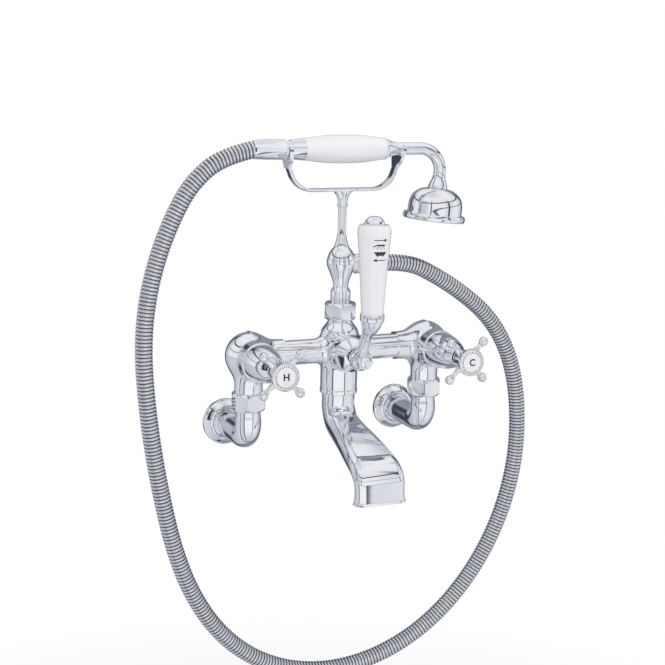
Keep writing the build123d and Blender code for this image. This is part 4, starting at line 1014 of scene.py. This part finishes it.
# The riser: a rounded hexagon nut, a turned bulb with the hose outlet on its right, and a
# slender stem that carries the cradle.
riser_nut = hexagon_nut("riser_hexagon", 28.6, 106.6, 122.3, 4.2, (0, -reach, 0), chrome)
riser_hole = turned("riser_hole", [
    (0, 105), (11.0, 105), (11.0, 116.5), (9.45, 116.5), (9.45, 124), (0, 124),
], (0, -reach, 0), (0, 0, 1), chrome)
cut_with(riser_nut, riser_hole, "DIFFERENCE")
finish_sharp(riser_nut, 20.0)
place(riser_nut, "body", "chrome", "riser_nut")

riser_profile = rounded_points([
    (0, 113.5), (10.9, 113.5), (10.9, 116.5), (9.3, 116.5), (9.3, 133.0, 1.6), (6.9, 136.9, 1.2),
    (6.9, 138.0),
], closed=False)
riser_profile += smooth_points([
    (6.9, 138.1), (8.4, 144.5), (10.7, 150.2), (12.9, 155.5), (13.4, 160.3), (12.5, 165.1), (10.2, 170.1),
    (6.6, 175.1), (3.9, 186.0),
])
riser_profile += rounded_points([
    (3.9, 208.0), (3.9, 210.8, 0.3), (5.0, 210.8, 0.8), (5.0, 213.0, 0.8), (0, 213.0),
], closed=False)
riser = turned("hose_riser_column", riser_profile, (0, -reach, 0), (0, 0, 1), chrome, sides=112)
outlet = turned("outlet", [
    (0, 4.0), (8.0, 4.0), (7.6, 12.9, 1.0), (9.2, 13.7, 0.6), (9.2, 16.5, 0.6), (0, 16.5),
], (0, -reach, outlet_level), (1, 0, 0), chrome, sides=80)
cut_with(riser, outlet, "UNION")
finish_sharp(riser, 30.0)
place(riser, "body", "chrome", "hose_riser")

# The cradle: a bent flat strap with a forked plate at each end, on a flared foot that screws
# down on the stem. The left fork takes the groove of the ferrule and the right one the neck.
strap_height = 226.5
strap_slope = math.radians(20.0)
strap_sides = 24
groove_radius = 7.6
tube_radius = 5.65
fork_gap = 0.3
fork_root, fork_tip = 249.0, 266.3
forks = [  # side, reach, lean, radius held
    (-1, 54.5, 0.0, groove_radius), (1, 53.5, 16.0, tube_radius),
]


def strap_ring(centre, ahead, width, thickness):
    """Rounded flat section square to the strap's line."""
    upward = Vector((-ahead.z, 0, ahead.x))
    ring = []
    for k in range(strap_sides):
        angle = 2 * math.pi * (k + 0.5) / strap_sides
        u = math.copysign(abs(math.cos(angle)) ** 0.35, math.cos(angle)) * width / 2
        v = math.copysign(abs(math.sin(angle)) ** 0.35, math.sin(angle)) * thickness / 2
        ring.append((centre + Vector((0, 1, 0)) * u + upward * v) * mm)
    return ring


arms = []
for side, fork_reach, lean, held_radius in forks:
    notch = held_radius + fork_gap
    corner = fork_reach - (fork_root - strap_height) * math.tan(strap_slope)
    line = bend_points((0, -reach, strap_height), (side * corner, -reach, strap_height),
                       (side * fork_reach, -reach, fork_root), 22.0)
    strap_rings = []
    for index, centre in enumerate(line):
        ahead = (line[min(index + 1, len(line) - 1)] - line[max(index - 1, 0)]).normalized()
        strap_rings.append(strap_ring(centre, ahead, 10.0, 3.0))
    arm = skin("cradle_arm", strap_rings, chrome)
    lean = math.radians(lean)
    upward = Vector((side * math.sin(lean), 0, math.cos(lean)))
    square = Vector((math.cos(lean), 0, -side * math.sin(lean)))
    fork_length = (fork_tip - fork_root) / math.cos(lean)
    shape = rounded_points([
        (-5.0, -2.5), (5.0, -2.5), (10.4, 5.5, 5.0), (10.4, fork_length, 1.2), (-10.4, fork_length, 1.2),
        (-10.4, 5.5, 5.0),
    ])
    root = Vector((side * fork_reach, -reach, fork_root))
    sheets = [[(root + square * offset + Vector((0, 1, 0)) * p.x + upward * p.y) * mm for p in shape]
              for offset in (-1.5, 1.5)]
    cut_with(arm, skin("fork", sheets, chrome), "UNION")
    slot_shape = [Vector((notch * math.cos(a), grip_level + notch * math.sin(a)))
                  for a in (math.pi + math.pi * k / 24 for k in range(25))]
    slot_shape += [Vector((notch, 270.0)), Vector((-notch, 270.0))]
    slot_rings = [[Vector((side * x, -reach + p.x, p.y)) * mm for p in slot_shape]
                  for x in (fork_reach - 6, fork_reach + 12)]
    cut_with(arm, skin("slot", slot_rings, chrome), "DIFFERENCE")
    arms.append(arm)
strap = arms[0]
cut_with(strap, arms[1], "UNION")
strap.name = "hand_shower_cradle"
foot_shape = [  # height, half width, half depth
    (213.0, 4.6, 4.4), (216.0, 4.6, 4.4), (219.0, 5.2, 4.5), (222.0, 6.6, 4.7), (224.2, 8.8, 4.9),
    (225.6, 12.0, 5.0), (226.4, 15.0, 5.0),
]
foot_rings = []
for height, half_width, half_depth in foot_shape:
    foot_rings.append([Vector((half_width * math.cos(a), -reach + half_depth * math.sin(a), height)) * mm
                       for a in (2 * math.pi * k / 48 for k in range(48))])
cut_with(strap, skin("foot", foot_rings, chrome), "UNION")
finish_sharp(strap, 30.0)
softened = strap.modifiers.new("softened", "BEVEL")
softened.width = 0.0003
softened.segments = 2
softened.limit_method = "ANGLE"
softened.angle_limit = math.radians(50)
place(strap, "body", "chrome", "cradle")

# The hose nuts: turned cones with six flats, one on the riser's outlet and one on the hand shower.
# Each is crimped on its end of the hose and screws on over a fibre washer.
nut_flats = 17.6


def cone_nut(name, start, end, height, body, node):
    """Cone nut along X between two distances, threaded at its start."""
    step = 1 if end > start else -1
    nut = turned(name, [
        (0, start), (9.1, start), (9.5, start + step, 0.4), (8.4, end - 1.4 * step, 0.8), (7.7, end),
        (0, end),
    ], (0, -reach, height), (1, 0, 0), chrome, sides=120)
    corner = nut_flats / math.sqrt(3)
    rings = [[Vector((x, -reach + corner * math.cos(a), height + corner * math.sin(a))) * mm
              for a in (math.radians(60 * k) for k in range(6))]
             for x in (min(start, end) - 1, max(start, end) + 1)]
    cut_with(nut, skin("flats", rings, chrome), "INTERSECT")
    finish_sharp(nut, 18.0)
    place(nut, body, "chrome", node)


cone_nut("riser_hose_nut", 16.5, 40.0, outlet_level, "body", "hose_nut_riser")
cone_nut("shower_hose_nut", -58.7, -88.0, grip_level, "handset", "hose_nut_handset")

# The hand shower: a grooved ferrule, a barrel-shaped porcelain grip, and a bent neck that flares
# into the rose. A brass tube through the grip ties its two ends together.
grip_end = 39.5
ferrule = turned("hose_end_ferrule", [
    (0, -58.7), (8.6, -58.7), (8.6, -56.5, 0.4), (groove_radius, -56.5, 0.3), (groove_radius, -52.4, 0.3),
    (8.6, -52.4, 0.5), (9.4, -45.5), (10.0, -grip_end), (0, -grip_end),
], (0, -reach, grip_level), (1, 0, 0), chrome)
place(ferrule, "handset", "chrome", "handset_inlet")
shower_grip = turned("porcelain_grip", [Vector((5.3, -grip_end))] + smooth_points([
    (9.9, -grip_end), (12.2, -grip_end / 2), (12.9, 0), (12.2, grip_end / 2), (9.9, grip_end),
], 12) + [Vector((5.3, grip_end))], (0, -reach, grip_level), (1, 0, 0), porcelain, sides=112)
place(shower_grip, "handset", "porcelain", "handset_grip")

bend_start = 78.5
bend_radius = 21.0
bend_steps = 24
neck_sides = 80
rose_tilt = 6.0
turn = math.radians(90 + rose_tilt)


def bend_place(angle):
    """Middle of the neck's tube at an angle round its bend."""
    drop = bend_radius * (1 - math.cos(angle))
    return Vector((bend_start + bend_radius * math.sin(angle), -reach, grip_level - drop))


def bend_ahead(angle):
    """Direction of the neck's tube at an angle round its bend."""
    return Vector((math.cos(angle), 0, -math.sin(angle)))


rose_base, rose_along = bend_place(turn), bend_ahead(turn)
neck = []  # middle, direction, radius
for distance, radius in ((grip_end, 0.01), (grip_end, 9.8), (40.3, 10.0), (41.6, 9.8), (44.0, 8.6),
                         (47.0, 7.3), (50.0, 6.4), (53.0, 5.9), (56.5, tube_radius), (66.0, tube_radius),
                         (bend_start, tube_radius)):
    neck.append((Vector((distance, -reach, grip_level)), Vector((1, 0, 0)), radius))
for step in range(1, bend_steps + 1):
    angle = turn * step / bend_steps
    neck.append((bend_place(angle), bend_ahead(angle), tube_radius))
for distance, radius in ((2.0, 5.75), (4.2, 6.15), (6.5, 6.85), (8.5, 7.6), (10.5, 8.4), (12.0, 9.0),
                         (12.6, 9.2), (14.0, 9.2), (14.0, 6.9), (18.0, 6.9)):
    neck.append((rose_base + rose_along * distance, rose_along, radius))
level = Vector((0, 1, 0))
neck_rings = [ring_round(middle, level, ahead.cross(level), radius, neck_sides)
              for middle, ahead, radius in neck]
neck_piece = skin("bent_neck", neck_rings, chrome)
place(neck_piece, "handset", "chrome", "handset_neck")
bell = turned("rose_bell", smooth_points([
    (8.6, 14.0), (16.0, 16.0), (22.3, 21.0), (25.1, 27.5), (25.8, 38.5),
]) + [Vector((26.6, 38.5)), Vector((26.6, 40.7)), Vector((24.0, 40.7))] + list(reversed(smooth_points([
    (7.6, 15.8), (15.0, 18.1), (20.6, 22.9), (23.2, 28.8), (24.0, 38.5),
]))) + [Vector((7.2, 15.8)), Vector((7.2, 14.0))], rose_base, rose_along, chrome, sides=128)
place(bell, "handset", "chrome", "rose_shell")
rim = turned("rose_rim", [
    (26.7, 38.2, 0.2), (28.8, 38.2, 0.8), (29.6, 41.1, 2.0), (29.0, 44.5, 1.6), (25.8, 44.5, 0.6),
    (25.8, 42.9), (26.7, 42.9),
], rose_base, rose_along, chrome, sides=128)
place(rim, "handset", "chrome", "rose_ring")

# The inner and small pieces: cartridges, discs, spindles, seals, washers, screws, rods and the
# rose's face. They keep their machined solids and get the finish of their own slot.
brass = metal_material("turned_brass", (0.72, 0.53, 0.24), (0.55, 0.40, 0.18), 0.22, 0.12, 120.0, 0.04)
drawn_steel = metal_material("drawn_steel", (0.58, 0.58, 0.60), (0.45, 0.45, 0.46), 0.28, 0.10, 200.0, 0.05)


def rubber_material():
    """Matt black rubber with a fine grain."""
    material, tree, shader = new_material("seal_rubber")
    shader.inputs["Roughness"].default_value = 0.75
    mottled_colour(tree, shader, (0.02, 0.02, 0.02), (0.06, 0.06, 0.06), Scale=1500.0)
    return material


slot_finishes = {
    "chrome": chrome, "hose_metal": hose_metal, "porcelain": porcelain, "ceramic": porcelain,
    "brass": brass, "steel": drawn_steel, "rubber": rubber_material(),
}
for subpart in frame["record"]["subparts"]:
    node = frame["nodes"][subpart["node"]]
    for material_slot in node.material_slots:
        material_slot.material = slot_finishes[subpart["material_slot"]]
    if not node.material_slots:
        node.data.materials.append(slot_finishes[subpart["material_slot"]])

# The studio: a pale floor far below, white all round for the lens, two soft lamps, and a light tent
# that only the metal and the glaze reflect.
world = bpy.data.worlds.new("studio")
bpy.context.scene.world = world
world.use_nodes = True
world_tree = world.node_tree
rays = add_node(world_tree, "ShaderNodeLightPath").outputs
seen = add_node(world_tree, "ShaderNodeMath", {
    0: rays["Is Camera Ray"], 1: rays["Is Glossy Ray"],
}, operation="MAXIMUM")
seen_through = add_node(world_tree, "ShaderNodeMath", {
    0: seen.outputs["Value"], 1: rays["Is Transmission Ray"],
}, operation="MAXIMUM")
strength = add_node(world_tree, "ShaderNodeMapRange", {
    "Value": seen_through.outputs["Value"], "To Min": 0.62, "To Max": 1.0,
})
background = world_tree.nodes["Background"]
background.inputs["Color"].default_value = (1.0, 1.0, 1.0, 1.0)
world_tree.links.new(strength.outputs["Result"], background.inputs["Strength"])

floor_half, floor_height = 12, -0.75
floor_mesh = bpy.data.meshes.new("studio_floor")
floor_mesh.from_pydata([(floor_half * x, floor_half * y, floor_height) for x, y in
                        ((-1, -1), (1, -1), (1, 1), (-1, 1))], [], [(0, 1, 2, 3)])
floor_material, floor_tree, floor_shader = new_material("studio_floor")
floor_shader.inputs["Base Color"].default_value = (0.92, 0.92, 0.92, 1.0)
floor_shader.inputs["Roughness"].default_value = 0.9
floor_shader.inputs["Specular IOR Level"].default_value = 0.1
floor_place = add_node(floor_tree, "ShaderNodeTexCoord").outputs["Object"]
floor_reach = add_node(floor_tree, "ShaderNodeVectorMath", {0: floor_place}, operation="LENGTH")
fading = add_node(floor_tree, "ShaderNodeMapRange", {
    "Value": floor_reach.outputs["Value"], "From Min": 0.75, "From Max": 1.5, "To Min": 0.25,
}, interpolation_type="SMOOTHSTEP")
floor_rays = add_node(floor_tree, "ShaderNodeLightPath")
seen_fading = add_node(floor_tree, "ShaderNodeMath", {
    0: fading.outputs["Result"], 1: floor_rays.outputs["Is Camera Ray"],
}, operation="MULTIPLY")
white_edge = add_node(floor_tree, "ShaderNodeEmission")
floor_mix = add_node(floor_tree, "ShaderNodeMixShader", {
    "Fac": seen_fading.outputs["Value"], 1: floor_shader.outputs["BSDF"], 2: white_edge.outputs["Emission"],
})
floor_tree.links.new(floor_mix.outputs["Shader"], floor_tree.nodes["Material Output"].inputs["Surface"])
sheet = add_object("studio_floor", floor_mesh, floor_material)

# The light tent round the object: white cloth in front and grey behind, with narrow dark gaps. It is
# seen only in reflections, where the gaps draw the lines and outlines of polished chrome.
tent_centre = Vector((0, -0.065, 0.05))
tent_radius = 0.7
tent_rows, tent_sides = 24, 48
tent_rings = []
for row in range(1, tent_rows):
    tilt = math.pi * row / tent_rows
    angles = (2 * math.pi * k / tent_sides for k in range(tent_sides))
    tent_rings.append([tent_centre + Vector((math.sin(tilt) * math.cos(a), math.sin(tilt) * math.sin(a),
                                             math.cos(tilt))) * tent_radius for a in angles])
top, bottom = ([tent_centre + Vector((0, 0, up * tent_radius))] for up in (1, -1))
tent_material, tent_tree, tent_shader = new_material("tent_cloth")
tent_tree.nodes.remove(tent_shader)
tent = skin("tent", [top] + tent_rings + [bottom], tent_material, caps=False, sharp=180.0)


def tone_ramp(place_along, tones):
    """Tones of a bluish grey along a socket, from (position, tone) pairs."""
    ramp = add_node(tent_tree, "ShaderNodeValToRGB", {"Fac": place_along})
    elements = ramp.color_ramp.elements
    while len(elements) < len(tones):
        elements.new(0.5)
    for element, (position, tone) in zip(elements, tones):
        element.position = position
        element.color = (tone ** 1.18, tone ** 1.09, tone ** 0.94, 1)
    return ramp.outputs["Color"]


where = add_node(tent_tree, "ShaderNodeTexCoord").outputs["Object"]
from_middle = add_node(tent_tree, "ShaderNodeMapping", {
    "Vector": where, "Location": (-tent_centre.x, -tent_centre.y, -tent_centre.z),
}, vector_type="POINT").outputs["Vector"]
turned_back = add_node(tent_tree, "ShaderNodeVectorRotate", {
    "Vector": from_middle, "Angle": math.radians(180 - 67),
}, rotation_type="Z_AXIS")
round_about = add_node(tent_tree, "ShaderNodeTexGradient", {
    "Vector": turned_back.outputs["Vector"],
}, gradient_type="RADIAL").outputs["Fac"]
direction = add_node(tent_tree, "ShaderNodeVectorMath", {0: from_middle}, operation="NORMALIZE")
upright = add_node(tent_tree, "ShaderNodeSeparateXYZ", {"Vector": direction.outputs["Vector"]})
rise = add_node(tent_tree, "ShaderNodeMapRange", {
    "Value": upright.outputs["Z"], "From Min": -1.0,
}).outputs["Result"]
tones_round = tone_ramp(round_about, [
    (0.0, 0.34), (0.09, 0.36), (0.10, 0.08), (0.125, 0.08), (0.14, 0.55), (0.19, 0.78), (0.24, 0.98),
    (0.295, 0.80), (0.30, 0.05), (0.314, 0.05), (0.32, 0.64), (0.39, 0.70), (0.43, 0.90), (0.452, 1.0),
    (0.456, 0.05), (0.466, 0.05), (0.470, 1.0), (0.60, 1.0), (0.665, 0.78), (0.67, 0.05), (0.684, 0.05),
    (0.69, 0.82), (0.78, 0.96), (0.86, 0.62), (0.875, 0.08), (0.90, 0.08), (0.91, 0.36), (1.0, 0.34),
])
tones_low = tone_ramp(round_about, [
    (0.0, 0.34), (0.09, 0.36), (0.10, 0.07), (0.125, 0.07), (0.145, 0.55), (0.24, 0.72), (0.30, 0.80),
    (0.383, 0.66), (0.388, 0.05), (0.402, 0.05), (0.408, 1.0), (0.588, 1.0), (0.596, 0.08), (0.604, 0.08),
    (0.61, 0.84), (0.72, 0.90), (0.80, 0.70), (0.86, 0.50), (0.875, 0.07), (0.90, 0.07), (0.91, 0.36),
    (1.0, 0.34),
])
tones_up = tone_ramp(rise, [
    (0.0, 0.66), (0.10, 0.82), (0.19, 1.0), (0.45, 1.0), (0.462, 0.62), (0.482, 0.62), (0.495, 0.94),
    (0.53, 1.0), (0.63, 1.0), (0.634, 0.10), (0.644, 0.10), (0.65, 0.92), (0.77, 1.0), (0.78, 0.08),
    (0.80, 0.08), (0.81, 0.86), (0.95, 0.98), (1.0, 0.78),
])
above = add_node(tent_tree, "ShaderNodeMapRange", {"Value": rise, "From Min": 0.47, "From Max": 0.48})
sides_round = add_node(tent_tree, "ShaderNodeMix", {
    "Factor": above.outputs["Result"], "A": tones_low, "B": tones_round,
}, data_type="RGBA")
overhead = add_node(tent_tree, "ShaderNodeMapRange", {
    "Value": rise, "From Min": 0.78, "From Max": 0.90, "To Max": 0.9,
})
top_round = add_node(tent_tree, "ShaderNodeMix", {
    "Factor": overhead.outputs["Result"], "A": sides_round.outputs["Result"], "B": (1.0, 1.0, 1.0, 1.0),
}, data_type="RGBA")
together = add_node(tent_tree, "ShaderNodeMix", {
    "Factor": 1.0, "A": top_round.outputs["Result"], "B": tones_up,
}, data_type="RGBA", blend_type="DARKEN")
glow = add_node(tent_tree, "ShaderNodeEmission", {"Color": together.outputs["Result"]})
tent_tree.links.new(glow.outputs["Emission"], tent_tree.nodes["Material Output"].inputs["Surface"])
tent.visible_camera = False
tent.visible_diffuse = False
tent.visible_shadow = False


def soft_lamp(name, place_at, target, size, watts):
    """Square soft box that points at a target and isn't seen in reflections."""
    data = bpy.data.lights.new(name, "AREA")
    data.shape = "SQUARE"
    data.size = size
    data.energy = watts
    lamp = bpy.data.objects.new(name, data)
    bpy.context.scene.collection.objects.link(lamp)
    lamp.location = place_at
    lamp.rotation_mode = "QUATERNION"
    lamp.rotation_quaternion = (Vector(target) - Vector(place_at)).to_track_quat("-Z", "Y")
    lamp.visible_glossy = False


soft_lamp("key_lamp", (-1.1, -1.4, 1.5), (0, -0.06, 0.08), 1.8, 15.0)
soft_lamp("fill_lamp", (1.4, -1.0, 0.7), (0, -0.06, 0.08), 1.6, 8.0)

bpy.context.scene.view_settings.view_transform = "Standard"
